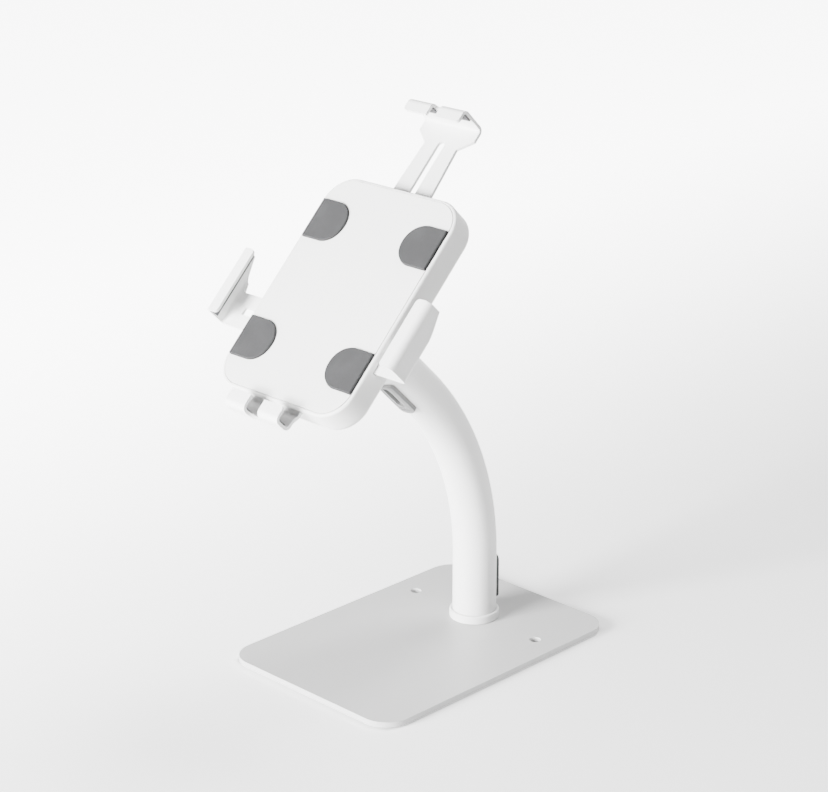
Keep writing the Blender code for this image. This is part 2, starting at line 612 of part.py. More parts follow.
def make_face(spin_axis):
    face = piece("face_plate", prism(rounded_rect(FACE_X, FACE_Y, FACE_CORNER, 6), FACE_Z0, FACE_Z1),
                 WHITE_PLASTIC, spin_axis)
    head_top = POCKET_Z - 0.0001
    for number, (x, y) in enumerate(corner_places(1, PAD_Y), 1):
        pocket = d_shape(PAD_X0 - GAP, PAD_X1 + 0.003, PAD_HALF + GAP, y)
        pad = d_shape(PAD_X0, PAD_X1, PAD_HALF, y)
        if x < 0:
            pocket, pad = mirrored(pocket), mirrored(pad)
        cut(face, prism(pocket, POCKET_Z, FACE_Z1 + 0.002))
        piece(f"grip_pad_{number}", prism(pad, POCKET_Z + GAP, PAD_TOP), GREY_RUBBER, spin_axis)
    for number, (x, y) in enumerate(corner_places(FACE_SCREW_X, FACE_SCREW_Y), 1):
        neck = head_top - FACE_SCREW_HEAD_R + FACE_SCREW_R
        tip = FLOOR_Z + 0.010
        screw = [(0, tip), (FACE_SCREW_R, tip), (FACE_SCREW_R, neck),
                 (FACE_SCREW_HEAD_R, head_top), (0, head_top)]
        piece(f"face_screw_{number}", turned(screw, 12), STEEL, spin_axis, (x, y, 0))
        clear = FACE_SCREW_R + GAP
        hole = [(0, FLOOR_Z), (clear, FLOOR_Z), (clear, neck - GAP / 2),
                (clear + FACE_SCREW_HEAD_R, neck + FACE_SCREW_HEAD_R - GAP / 2),
                (0, neck + FACE_SCREW_HEAD_R)]
        cut(face, turned(hole, 12), location=(x, y, 0))
    for side in (-1, 1):
        hole = shifted(polygon(0.0022, 12), side * LOW_SCREW_X, LOW_SCREW_Y)
        cut(face, prism(hole, 0, FACE_Z1 - 0.0005))


# ---------------------------------------------------------------- clamps

def make_side_clamp(name, side, spin_axis):
    """The clamp is drawn for +X and mirrored by its side."""
    outer = [(SIDE_ARM_END, SIDE_ARM_Z), (SIDE_OUT, SIDE_ARM_Z), (SIDE_OUT, LIP_Z),
             (SIDE_LIP_X, LIP_Z)]
    section = bent_strip(outer)
    shape = (lambda outline: outline) if side > 0 else mirrored
    clamp = piece(name, prism(shape(section), SIDE_LOW, SIDE_HIGH, ALONG_Y), WHITE_COAT, spin_axis)
    taper = [(SIDE_ARM_HIGH, 0), (SIDE_ARM_HIGH, SIDE_ARM_Z - 0.0001),
             (SIDE_HIGH + 0.0001, SIDE_TAPER_Z), (SIDE_HIGH + 0.002, SIDE_TAPER_Z),
             (SIDE_HIGH + 0.002, 0)]
    cut(clamp, prism(taper, -2 * SIDE_OUT, 2 * SIDE_OUT, ALONG_X))
    inside = shape(rectangle(0, SIDE_OUT - BEND_OUT, SIDE_ARM_HIGH, 2 * SIDE_HIGH))
    cut(clamp, prism(inside, 0, TABLET_Z))
    arm_mid = (SIDE_LOW + SIDE_ARM_HIGH) / 2
    slot = shape(rectangle(SIDE_SLOT_X0, SIDE_SLOT_X1, arm_mid - SIDE_SLOT_HALF,
                           arm_mid + SIDE_SLOT_HALF))
    cut(clamp, prism(slot, 0, TABLET_Z))

    wall = SIDE_OUT - SHEET - GAP
    lip = LIP_Z - SHEET - GAP
    liner = bent_strip([(wall, TABLET_Z), (wall, lip), (SIDE_LIP_X + 0.0005, lip)],
                       LINER, BEND_OUT - SHEET - GAP)
    piece(f"{name}_liner", prism(shape(liner), SIDE_LOW + 0.001, SIDE_HIGH - 0.001, ALONG_Y),
          GREY_RUBBER, spin_axis)


def make_top_clamp(spin_axis):
    outer = [(TOP_ARM_END, TOP_ARM_Z), (TOP_OUT, TOP_ARM_Z), (TOP_OUT, LIP_Z), (TOP_LIP_Y, LIP_Z)]
    clamp = piece("top_clamp", prism(bent_strip(outer), -TOP_HALF, TOP_HALF, ALONG_X), WHITE_COAT,
                  spin_axis)
    beyond = TOP_HALF + 0.002
    waste = [(beyond, 0), (beyond, TOP_FLARE_Y), (TOP_HALF, TOP_FLARE_Y),
             (TOP_NECK_HALF, TOP_TAPER_Y1), (TOP_ARM_HALF, TOP_TAPER_Y0), (TOP_ARM_HALF, 0)]
    for outline in (waste, mirrored(waste)):
        cut(clamp, prism(outline, 0, TABLET_Z))
    slot = swapped(obround(TOP_SLOT_Y0, TOP_SLOT_Y1, 0, TOP_SLOT_HALF))
    cut(clamp, prism(slot, 0, TABLET_Z))
    cut(clamp, block(-HOOK_GAP, HOOK_GAP, 0, 2 * TOP_OUT, HOOK_GAP_Z, 2 * LIP_Z))
    notch_half = TOOTH_HALF + GAP
    notches = bmesh.new()
    for k in range(NOTCH_COUNT):
        y = LATCH_Y + (k - 2) * NOTCH_PITCH
        edge = bmesh.ops.create_cube(notches, size=1)["verts"]
        bmesh.ops.scale(notches, verts=edge, vec=(2 * NOTCH_DEPTH, 2 * notch_half, 0.01))
        bmesh.ops.translate(notches, verts=edge, vec=(-TOP_ARM_HALF, y, TOP_ARM_Z))
    cut(clamp, notches)

    top = TOP_OUT - SHEET - GAP
    lip = LIP_Z - SHEET - GAP
    liner = bent_strip([(top, TABLET_Z), (top, lip), (TOP_LIP_Y + 0.0005, lip)],
                       LINER, BEND_OUT - SHEET - GAP)
    for number, (x0, x1) in enumerate(hook_spans(HOOK_GAP, TOP_HALF), 1):
        piece(f"top_liner_{number}", prism(liner, x0, x1, ALONG_X), GREY_RUBBER, spin_axis)


def hook_spans(inner, outer):
    margin = 0.0008
    return ((-outer + margin, -inner - margin), (inner + margin, outer - margin))


def make_bottom_clamp(spin_axis):
    outer = [(LOW_LIP_Y, LIP_Z), (LOW_OUT, LIP_Z), (LOW_OUT, LOW_LEG_Z), (LOW_STEP_Y0, LOW_LEG_Z),
             (LOW_STEP_Y1, LOW_TAIL_Z), (LOW_TAIL_END, LOW_TAIL_Z)]
    clamp = piece("bottom_clamp", prism(bent_strip(outer), -LOW_HALF, LOW_HALF, ALONG_X),
                  WHITE_COAT, spin_axis)
    notch_end = 0.054 + NOTCH_HALF
    notch = ([(NOTCH_HALF, 2 * LIP_Z), (-NOTCH_HALF, 2 * LIP_Z)]
             + arc(0, notch_end, NOTCH_HALF, 180, 360, 8))
    cut(clamp, prism(notch, 2 * LOW_OUT, LOW_LIP_Y + 0.01, ALONG_Y))

    low = LOW_OUT + SHEET + GAP
    lip = LIP_Z - SHEET - GAP
    liner = bent_strip([(LOW_LIP_Y - 0.0005, lip), (low, lip), (low, TABLET_Z)],
                       LINER, BEND_OUT - SHEET - GAP)
    for number, (x0, x1) in enumerate(hook_spans(NOTCH_HALF, LOW_HALF), 1):
        piece(f"bottom_liner_{number}", prism(liner, x0, x1, ALONG_X), GREY_RUBBER, spin_axis)

    radius, head = 0.0019, LOW_TAIL_Z - GAP
    for number, side in enumerate((-1, 1), 1):
        place = (side * LOW_SCREW_X, LOW_SCREW_Y, 0)
        screw = [(0, head - 0.002), (0.0035, head - 0.002), (0.0035, head), (radius, head),
                 (radius, FACE_Z1 - 0.0008), (0, FACE_Z1 - 0.0008)]
        piece(f"bottom_screw_{number}", turned(screw, 14), STEEL, spin_axis, place)
        cut(clamp, prism(shifted(polygon(radius + GAP, 14), *place[:2]), 0, FACE_Z0 + 0.001))


# ---------------------------------------------------------------- guides and lock

def make_side_guides(spin_axis):
    arm_mid = (SIDE_LOW + SIDE_ARM_HIGH) / 2
    low, high = FLOOR_Z + GAP, SIDE_ARM_Z - GAP
    cheek = 0.0014
    for name, side in (("left", -1), ("right", 1)):
        shape = (lambda outline: outline) if side > 0 else mirrored
        y0, y1 = SIDE_LOW - GAP - cheek, SIDE_ARM_HIGH + GAP + cheek
        guide = piece(f"{name}_guide", prism(shape(rectangle(0.030, 0.056, y0, y1)), low,
                                             high + SHEET), BLACK_PLASTIC, spin_axis, smooth=False)
        channel = rectangle(SIDE_LOW - GAP, SIDE_ARM_HIGH + GAP, high, high + 0.01)
        cut(guide, prism(channel, -0.1, 0.1, ALONG_X))
        place = (side * SIDE_BOLT_X, arm_mid, 0)
        cut(guide, rod(SIDE_BOLT_R + GAP, 0, 0.1, 16), location=place)
        tip = FACE_Z0 - GAP
        head = SHELL_Z0 - GAP
        bolt = piece(f"{name}_clamp_bolt", turned([(0, head - 0.0027), (0.0035, head - 0.0027),
                                                   (0.0047, head - 0.001), (0.0047, head),
                                                   (SIDE_BOLT_R, head), (SIDE_BOLT_R, tip - 0.0004),
                                                   (0, tip - 0.0004)], 18),
                     STEEL, spin_axis, place)
        cut(bolt, prism(hexagon(0.003), 0, head - 0.0010))
        nut_low = SIDE_ARM_Z + SHEET + GAP
        nut = piece(f"{name}_clamp_nut",
                    prism(shifted(rectangle(-SIDE_NUT_HALF, SIDE_NUT_HALF, -SIDE_NUT_HALF,
                                            SIDE_NUT_HALF), *place[:2]), nut_low, tip),
                    STEEL, spin_axis, smooth=False)
        cut(nut, rod(SIDE_BOLT_R + GAP, 0, 0.1, 16), location=place)


def make_top_guide(spin_axis):
    low, high = FLOOR_Z + GAP, TOP_ARM_Z - GAP
    wall_in, wall_out = TOP_ARM_HALF + GAP, 0.0220
    wall_y0, wall_y1 = 0.0135, 0.0305
    guide = piece("top_guide", block(-wall_out, wall_out, wall_y0, wall_y1, low,
                                     high + GAP + SHEET + GAP), BLACK_PLASTIC, spin_axis,
                  smooth=False)
    cut(guide, block(-wall_in, wall_in, 0, 0.1, high, 0.1))
    join(guide, block(-0.012, 0.012, wall_y1 - 0.001, 0.060, low, high - 0.0001))
    pin_head = rectangle(-0.0042, 0.0042, STOP_RING - 0.0045, STOP_RING + 0.0045)
    cut(guide, prism(pin_head, 0, FLOOR_Z + 0.0022))
    stud_y, stud_r = 0.0510, 0.0024
    cut(guide, rod(stud_r + GAP, FLOOR_Z + 0.002, 0.1, 16), location=(0, stud_y, 0))
    stud_head = TOP_ARM_Z + SHEET + GAP
    piece("guide_stud", turned([(0, FLOOR_Z + 0.0025), (stud_r, FLOOR_Z + 0.0025),
                                (stud_r, stud_head), (0.0048, stud_head),
                                (0.0048, stud_head + 0.002), (0, stud_head + 0.002)], 18),
          STEEL, spin_axis, (0, stud_y, 0))


def make_lock(spin_axis):
    """Key lock: its plug turns a cam whose pin pushes the latch into the arm's notches."""
    place = (LOCK_X, LATCH_Y, 0)
    flange_high = SHELL_Z0 - GAP
    barrel_top = 0.0380
    piece("lock_barrel", turned([(LOCK_BORE_R, flange_high - 0.002),
                                 (LOCK_FLANGE_R - 0.0006, flange_high - 0.002),
                                 (LOCK_FLANGE_R, flange_high - 0.0014), (LOCK_FLANGE_R, flange_high),
                                 (LOCK_R, flange_high), (LOCK_R, barrel_top),
                                 (LOCK_BORE_R, barrel_top)], 28), CHROME, spin_axis, place)
    nut = piece("lock_nut", prism(hexagon(LOCK_NUT_AF), FLOOR_Z + GAP, FLOOR_Z + 0.003), STEEL,
                spin_axis, place, smooth=False)
    cut(nut, rod(LOCK_R + GAP, 0, 0.1, 24))

    plug = piece("lock_plug", rod(LOCK_PLUG_R, flange_high - 0.0016, 0.0382, 24), CHROME, spin_axis,
                 place)
    cut(plug, block(-0.0007, 0.0007, -0.0034, 0.0034, 0, flange_high + 0.004))
    cam_low = 0.0385
    cam = piece("lock_cam", rod(CAM_R, cam_low, cam_low + 0.0012, 24), STEEL, spin_axis, place)
    pin = shifted(polygon(CAM_PIN_R, 12), CAM_PIN_ORBIT * cos(radians(225)),
                  CAM_PIN_ORBIT * sin(radians(225)))
    join(cam, prism(pin, cam_low + 0.0006, 0.0418))

    latch_z0, latch_z1 = 0.0400, 0.0420
    body = [(TOOTH_TIP - 0.0045, LATCH_Y - LATCH_HALF), (TOOTH_TIP - 0.0045, LATCH_Y - TOOTH_HALF),
            (TOOTH_TIP, LATCH_Y - TOOTH_HALF), (TOOTH_TIP, LATCH_Y + TOOTH_HALF),
            (TOOTH_TIP - 0.0045, LATCH_Y + TOOTH_HALF), (TOOTH_TIP - 0.0045, LATCH_Y + LATCH_HALF),
            (LOCK_X - 0.0095, LATCH_Y + LATCH_HALF), (LOCK_X - 0.0095, LATCH_Y - LATCH_HALF)]
    latch = piece("latch", prism(body, latch_z0, latch_z1), STEEL, spin_axis, smooth=False)
    pin_x = LOCK_X + CAM_PIN_ORBIT * cos(radians(225))
    slack = CAM_PIN_R + 0.0005
    window = rectangle(pin_x - slack, pin_x + slack, LATCH_Y - CAM_PIN_ORBIT - slack,
                       LATCH_Y + 0.0012)
    cut(latch, prism(window, 0, 0.1))


def main():
    for thing in list(bpy.data.objects):
        bpy.data.objects.remove(thing, do_unlink=True)
    make_foot()
    tube = make_tube()
    tilt_axis = frame_empty("tilt_axis", None, along_tube(HINGE_S), (HEAD_TILT, 0, 0))
    spin_axis = frame_empty("spin_axis", tilt_axis, (0, SPIN_OFFSET, 0))
    make_head_plug(tilt_axis, tube)
    make_fork(tilt_axis)
    make_hinge_hardware(tilt_axis)
    make_swivel(tilt_axis, spin_axis)
    make_shell(spin_axis)
    make_face(spin_axis)
    make_side_clamp("left_clamp", -1, spin_axis)
    make_side_clamp("right_clamp", 1, spin_axis)
    make_top_clamp(spin_axis)
    make_bottom_clamp(spin_axis)
    make_side_guides(spin_axis)
    make_top_guide(spin_axis)
    make_lock(spin_axis)


main()
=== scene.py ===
"""Looks of a lockable desk stand for a tablet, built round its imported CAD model.

Pieces of the head are modelled flat, in the head's own frame (x across the
tablet, y up it, z out of its front), and then set down on the leaning head.
"""
import json
from math import atan2, cos, pi, radians, sin

import bpy
from mathutils import Matrix, Vector


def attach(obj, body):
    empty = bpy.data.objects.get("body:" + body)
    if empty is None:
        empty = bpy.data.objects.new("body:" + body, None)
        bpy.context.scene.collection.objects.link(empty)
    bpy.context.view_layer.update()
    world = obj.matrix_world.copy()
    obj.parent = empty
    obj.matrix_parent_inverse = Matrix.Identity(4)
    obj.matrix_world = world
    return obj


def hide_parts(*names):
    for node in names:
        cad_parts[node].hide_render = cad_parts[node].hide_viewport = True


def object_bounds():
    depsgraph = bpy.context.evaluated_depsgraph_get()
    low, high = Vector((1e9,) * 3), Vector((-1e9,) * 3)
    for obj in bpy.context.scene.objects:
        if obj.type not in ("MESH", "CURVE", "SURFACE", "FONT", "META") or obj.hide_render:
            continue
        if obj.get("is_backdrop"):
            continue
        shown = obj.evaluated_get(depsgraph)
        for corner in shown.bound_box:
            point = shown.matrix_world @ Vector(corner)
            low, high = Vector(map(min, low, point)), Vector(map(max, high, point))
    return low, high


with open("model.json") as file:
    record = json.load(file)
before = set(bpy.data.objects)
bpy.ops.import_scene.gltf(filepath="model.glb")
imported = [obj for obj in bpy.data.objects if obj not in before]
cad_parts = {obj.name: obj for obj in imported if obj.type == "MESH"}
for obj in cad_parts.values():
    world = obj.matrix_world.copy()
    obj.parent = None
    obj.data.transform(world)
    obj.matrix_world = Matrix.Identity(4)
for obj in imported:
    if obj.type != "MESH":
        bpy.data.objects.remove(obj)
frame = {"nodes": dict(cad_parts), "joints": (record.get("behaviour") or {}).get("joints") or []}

cad_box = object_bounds()

NODES = frame["nodes"]
JOINTS = {joint["name"]: joint for joint in frame["joints"]}
WORLD = Matrix.Identity(4)
LEAN = atan2(-JOINTS["head_swivel"]["axis"][1], JOINTS["head_swivel"]["axis"][2])
HINGE = Matrix.Translation(JOINTS["head_tilt"]["pos_m"]) @ Matrix.Rotation(LEAN, 4, "X")
SWIVEL_RISE = (HINGE.inverted() @ Vector(JOINTS["head_swivel"]["pos_m"])).y
HEAD = HINGE @ Matrix.Translation((0, SWIVEL_RISE, 0))

GAP = 0.0003                   # play between pieces that fit together
SHEET = 0.0022                 # thickness of the bent clamps
BEND = 0.0045                  # outer radius of their bends
LIP_CORNER = 0.003             # corner radius of their lips
LINER = 0.0008                 # thickness of the liners inside them
TUBE_WALL = 0.0015
TUBE_BEND = 0.200              # radius of the tube's long bend
SCREW_R = 0.0018               # radius of the face screws' holes


def extent(node, place=WORLD):
    """Lowest and highest corner of a CAD node, measured in a frame."""
    back = place.inverted()
    points = [back @ vertex.co for vertex in NODES[node].data.vertices]
    low, high = (Vector(f(p[k] for p in points) for k in range(3)) for f in (min, max))
    return low, high


def middle_of(node, place=WORLD):
    """Middle of a CAD node across x and y of a frame."""
    low, high = extent(node, place)
    return (low.x + high.x) / 2, (low.y + high.y) / 2


# ------------------------------------------------------------- modelling steps

def alone(*things):
    """Selects these objects and nothing else."""
    bpy.ops.object.select_all(action="DESELECT")
    for thing in things:
        thing.select_set(True)
    bpy.context.view_layer.objects.active = things[0]


def bake_place(piece, place):
    """Moves a piece into a frame, and leaves its origin at the world's."""
    alone(piece)
    piece.matrix_world = place
    bpy.ops.object.transform_apply(location=True, rotation=True, scale=True)


def named(name):
    """Names the object just made and applies its transform."""
    piece = bpy.context.object
    piece.name = name
    bpy.ops.object.transform_apply(location=True, rotation=True, scale=True)
    return piece


def block(name, low, high):
    """A box from one corner to the other."""
    bpy.ops.object.select_all(action="DESELECT")
    low, high = Vector(low), Vector(high)
    bpy.ops.mesh.primitive_cube_add(size=1, location=(low + high) / 2, scale=high - low)
    return named(name)


def drum(name, radius, start, end, centre=(0, 0), axis="Z", sides=64, top=None):
    """A round bar from start to end along X or Z; top gives a different end radius."""
    turn = {"X": (pi / 2, 0, pi / 2), "Z": (0, 0, 0)}[axis]
    middle = (start + end) / 2
    where = {"X": (middle, *centre), "Z": (*centre, middle)}[axis]
    bpy.ops.object.select_all(action="DESELECT")
    end_radius = radius if top is None else top
    bpy.ops.mesh.primitive_cone_add(vertices=sides, radius1=radius, radius2=end_radius,
                                    depth=abs(end - start), location=where, rotation=turn)
    return named(name)


def choose(piece, kind, test):
    """Leaves the piece in edit mode with what passes the test selected.

    A face is tested by its centre and normal, an edge by its middle and
    direction, a vertex by its place.
    """
    alone(piece)
    bpy.ops.object.mode_set(mode="EDIT")
    bpy.ops.mesh.select_mode(type=kind)
    bpy.ops.mesh.select_all(action="DESELECT")
    bpy.ops.object.mode_set(mode="OBJECT")
    mesh = piece.data
    spots = [vertex.co for vertex in mesh.vertices]
    if kind == "FACE":
        for face in mesh.polygons:
            face.select = bool(test(face.center, face.normal))
    elif kind == "EDGE":
        for edge in mesh.edges:
            a, b = (spots[i] for i in edge.vertices)
            edge.select = bool(test((a + b) / 2, (b - a).normalized()))
    else:
        for vertex in mesh.vertices:
            vertex.select = bool(test(vertex.co))
    bpy.ops.object.mode_set(mode="EDIT")


def choose_all(piece):
    choose(piece, "VERT", lambda spot: True)


def finish_edit():
    bpy.ops.object.mode_set(mode="OBJECT")


def delete_faces(piece, test):
    choose(piece, "FACE", test)
    bpy.ops.mesh.delete(type="FACE")
    finish_edit()


def shift(piece, step, test):
    """Moves the vertices that pass the test by a step."""
    choose(piece, "VERT", test)
    bpy.ops.transform.translate(value=step)
    finish_edit()


def turn_outwards(piece):
    """Turns every face's normal outwards."""
    choose_all(piece)
    bpy.ops.mesh.normals_make_consistent(inside=False)
    finish_edit()


def round_edges(piece, radius, segments, test):
    choose(piece, "EDGE", test)
    bpy.ops.mesh.bevel(offset=radius, segments=segments, affect="EDGES")
    finish_edit()


def round_corners(piece, radius, segments, test):
    choose(piece, "VERT", test)
    bpy.ops.mesh.bevel(offset=radius, segments=segments, affect="VERTICES")
    finish_edit()


def stretch(piece, test, step):
    """Extrudes the edges that pass the test by a step."""
    choose(piece, "EDGE", test)
    bpy.ops.mesh.extrude_region_move(TRANSFORM_OT_translate={"value": step})
    finish_edit()


NEAR = 1e-5                    # places closer than this are the same


def near(a, b):
    return abs(a - b) < NEAR


def upright(_middle, direction):
    """Picks the edges that run along z."""
    return abs(direction.z) > 0.99


def rim(level):
    """Picks the flat edges at one height."""
    return lambda middle, direction: near(middle.z, level) and abs(direction.z) < 0.1


def apply(piece, kind, **settings):
    alone(piece)
    modifier = piece.modifiers.new(kind.lower(), kind)
    for key, value in settings.items():
        setattr(modifier, key, value)
    bpy.ops.object.modifier_apply(modifier=modifier.name)


def carve(piece, cutter, operation="DIFFERENCE"):
    apply(piece, "BOOLEAN", operation=operation, solver="EXACT", object=cutter)
    bpy.data.objects.remove(cutter, do_unlink=True)


def merge(piece, other):
    carve(piece, other, "UNION")


def tidy(piece):
    """Joins coincident points and rebuilds flat faces."""
    choose_all(piece)
    bpy.ops.mesh.remove_doubles(threshold=1e-6)
    bpy.ops.mesh.dissolve_limited(angle_limit=radians(1))
    finish_edit()


def soften(piece, width, segments=3, angle=35):
    """Breaks the sharp edges and shades the rest smooth."""
    tidy(piece)
    apply(piece, "BEVEL", width=width, segments=segments, limit_method="ANGLE",
          angle_limit=radians(angle), use_clamp_overlap=True, harden_normals=False)
    alone(piece)
    bpy.ops.object.shade_smooth_by_angle(angle=radians(32))
    apply(piece, "WEIGHTED_NORMAL", mode="FACE_AREA", weight=50, keep_sharp=True)


def settle(piece, body, stands_for, look, place=WORLD):
    """Sets a finished piece down in its frame, on its body, in place of its CAD nodes."""
    bake_place(piece, place)
    piece.data.materials.clear()
    piece.data.materials.append(look)
    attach(piece, body)
    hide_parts(*stands_for)


def refined(node, body, look, width=0.0003, segments=2):
    """Adds a copy of a CAD node with merged faces and broken edges."""
    alone(NODES[node])
    bpy.ops.object.duplicate()
    piece = bpy.context.object
    piece.parent = None
    for key in list(piece.keys()):
        del piece[key]
    piece.name = node + "_finished"
    soften(piece, width, segments)
    settle(piece, body, [node], look)


# ------------------------------------------------------------- materials

class Num:
    """A shader value that can be written in an expression."""

    def __init__(self, tree, socket):
        self.tree, self.socket = tree, socket        # tree is the Finish it belongs to

    def __add__(self, other):
        return self.tree.math("ADD", self, other)

    def __radd__(self, other):
        return self.tree.math("ADD", other, self)

    def __mul__(self, other):
        return self.tree.math("MULTIPLY", self, other)


FLAT = 0.5                                             # pointiness of a flat face
MIX_FACTOR, MIX_A, MIX_B, MIX_RESULT = 0, 6, 7, 2      # sockets of a colour mix node


class Finish:
    """One material: its node tree and its shader."""

    def __init__(self, name, roughness, metallic=0.0, **constants):
        self.material = bpy.data.materials.new(name)
        self.material.use_nodes = True
        self.nodes = self.material.node_tree.nodes
        self.links = self.material.node_tree.links
        self.shader = self.nodes["Principled BSDF"]
        self.feed(self.shader, {"Roughness": roughness, "Metallic": metallic, **constants})
        self.place = self.node("ShaderNodeTexCoord").outputs["Object"]

    def feed(self, node, values):
        """Sets a node's inputs, or links them where a value is a socket."""
        for key, value in values.items():
            if isinstance(value, Num):
                value = value.socket
            if isinstance(value, bpy.types.NodeSocket):
                self.links.new(value, node.inputs[key])
            else:
                node.inputs[key].default_value = value

    def node(self, kind, settings=None, values=None):
        node = self.nodes.new(kind)
        for key, value in (settings or {}).items():
            setattr(node, key, value)
        self.feed(node, values or {})
        return node

    def math(self, operation, *values):
        node = self.node("ShaderNodeMath", {"operation": operation}, dict(enumerate(values)))
        return Num(self, node.outputs[0])

    def noise(self, scale, detail=2.0, rough=0.5, place=None):
        node = self.node("ShaderNodeTexNoise", None,
                         {"Vector": place or self.place, "Scale": scale, "Detail": detail,
                          "Roughness": rough})
        return Num(self, node.outputs["Fac"])

    def cells(self, scale):
        node = self.node("ShaderNodeTexVoronoi", {"feature": "SMOOTH_F1"},
                         {"Vector": self.place, "Scale": scale, "Smoothness": 0.6})
        return Num(self, node.outputs["Distance"])

    def stretched(self, scale, turn=(0, 0, 0)):
        """The place, stretched along the axes for a pattern with a direction."""
        node = self.node("ShaderNodeMapping", None,
                         {"Vector": self.place, "Scale": scale, "Rotation": turn})
        return node.outputs[0]

    def band(self, value, low, high, to_low=0.0, to_high=1.0):
        """The value between two limits, eased onto another range."""
        node = self.node("ShaderNodeMapRange", {"interpolation_type": "SMOOTHSTEP"},
                         {"Value": value, "From Min": low, "From Max": high, "To Min": to_low,
                          "To Max": to_high})
        return Num(self, node.outputs["Result"])

    def pointed(self):
        """Above a half on convex edges, a half on flat faces, below it in creases."""
        return self.node("ShaderNodeNewGeometry").outputs["Pointiness"]

    def worn(self, sharpest=0.53):
        """1 along the convex edges."""
        return self.band(self.pointed(), FLAT, sharpest)

    def painted_crease_shade(self):
        """1 along the concave edges, where the colour is darkened as painted shade."""
        return self.band(self.pointed(), 0.44, FLAT, 1.0, 0.0)

    def mix(self, factor, first, second):
        """First colour where the factor is 0, second where it is 1."""
        node = self.node("ShaderNodeMix", {"data_type": "RGBA"},
                         {MIX_FACTOR: factor, MIX_A: colour(first), MIX_B: colour(second)})
        return node.outputs[MIX_RESULT]

    def bump(self, height, strength, distance, normal=None):
        values = {"Height": height, "Strength": strength, "Distance": distance}
        if normal is not None:
            values["Normal"] = normal
        return self.node("ShaderNodeBump", None, values).outputs["Normal"]

    def done(self, colour_socket, roughness=None, normal=None):
        values = {"Base Color": colour_socket}
        if roughness is not None:
            values["Roughness"] = roughness
        if normal is not None:
            values["Normal"] = normal
        self.feed(self.shader, values)
        return self.material


def colour(value):
    """A socket as it is, or a grey or a colour with its alpha."""
    if isinstance(value, bpy.types.NodeSocket):
        return value
    if isinstance(value, (int, float)):
        return (value, value, value, 1)
    return (*value, 1)


def toned(tone, factor, lift=0.0):
    """A lighter or darker tone."""
    return tuple(min(1.0, channel * factor + lift) for channel in tone)


def powder_coat(name, tone, roughness=0.46):
    """Baked powder: a fine orange-peel skin, faint clouds, paler edges, painted shade in the
    creases.
    """
    finish = Finish(name, roughness, **{"Coat Weight": 0.12, "Coat Roughness": 0.25})
    clouds = finish.band(finish.noise(9, 3), 0.35, 0.65)
    grain = finish.noise(2200, 2, 0.6)
    base = finish.mix(clouds * 0.7 + grain * 0.3, toned(tone, 0.965), tone)
    base = finish.mix(finish.worn() * 0.6, base, toned(tone, 1.03))
    # painted shade: the creases are darkened in the colour
    base = finish.mix(finish.painted_crease_shade() * 0.5, base, toned(tone, 0.72))
    peel = finish.bump(finish.noise(420, 2, 0.5), 0.10, 0.0003)
    normal = finish.bump(grain, 0.10, 0.0001, peel)
    rough = roughness - 0.05 + finish.noise(60, 3) * 0.08 + grain * 0.03
    return finish.done(base, rough, normal)


def moulded(name, tone, roughness=0.5, grain_depth=0.12):
    """Injection-moulded plastic with a fine spark-eroded grain."""
    finish = Finish(name, roughness)
    grain = finish.cells(1500)
    clouds = finish.band(finish.noise(14, 3), 0.3, 0.7)
    base = finish.mix(clouds, toned(tone, 0.96), tone)
    base = finish.mix(finish.worn() * 0.5, base, toned(tone, 1.08, 0.01))
    # painted shade: the creases are darkened in the colour
    base = finish.mix(finish.painted_crease_shade() * 0.6, base, toned(tone, 0.6))
    rough = roughness - 0.04 + finish.noise(45, 3) * 0.08 + grain * 0.04
    return finish.done(base, rough, finish.bump(grain, grain_depth, 0.00012))


def rubber(name, tone, roughness=0.82):
    """Matte rubber: a stippled skin, a dusty bloom and polished edges."""
    finish = Finish(name, roughness, **{"Sheen Weight": 0.03, "Sheen Roughness": 0.6,
                                        "Specular IOR Level": 0.35})
    stipple = finish.cells(1100)
    dust = finish.band(finish.noise(55, 4, 0.6), 0.42, 0.72)
    base = finish.mix(dust, tone, toned(tone, 1.3, 0.002))
    base = finish.mix(finish.worn(0.56) * 0.45, base, toned(tone, 0.8))
    rough = roughness - 0.06 + dust * 0.08 + stipple * 0.05
    return finish.done(base, rough, finish.bump(stipple, 0.22, 0.0002))


def zinc(name, tone, roughness, streak_turn=(0, 0, 0)):
    """Plated steel with drawn streaks, small spangles and rubbed edges."""
    finish = Finish(name, roughness, 1.0)
    streaks = finish.noise(1, 3, 0.6, finish.stretched((2600, 2600, 90), streak_turn))
    spangle = finish.noise(700, 2)
    base = finish.mix(streaks * 0.6 + spangle * 0.4, toned(tone, 0.82), tone)
    base = finish.mix(finish.worn() * 0.5, base, toned(tone, 1.2))
    rough = roughness - 0.08 + streaks * 0.12 + finish.noise(130, 3) * 0.08
    return finish.done(base, rough, finish.bump(streaks, 0.08, 0.0001))


WHITE_COAT = powder_coat("white_powder_coat", (0.77, 0.77, 0.765))
FOOT_COAT = powder_coat("pale_grey_powder_coat", (0.50, 0.50, 0.498), 0.5)
WHITE_SHELL = moulded("white_moulded_shell", (0.72, 0.72, 0.712), 0.44)
PAD_RUBBER = rubber("grey_pad_rubber", (0.022, 0.022, 0.023))
LINER_FOAM = rubber("grey_liner_foam", (0.085, 0.085, 0.088), 0.88)
# painted shade: the lower grommet is much darker than the upper one for its shadowed side
GROMMET_SHADED = rubber("shaded_grommet_rubber", (0.040, 0.040, 0.042), 0.75)
GROMMET_GREY = moulded("grey_grommet_plastic", (0.19, 0.19, 0.19), 0.55)
BLACK_NYLON = moulded("black_nylon", (0.025, 0.025, 0.027), 0.5, 0.2)
MAT_RUBBER = rubber("black_mat_rubber", (0.035, 0.035, 0.036))
STEEL = zinc("zinc_plated_steel", (0.62, 0.62, 0.63), 0.34)              # drawn along z
STEEL_ACROSS = zinc("zinc_plated_steel_across", (0.62, 0.62, 0.63), 0.34, (0, pi / 2, 0))
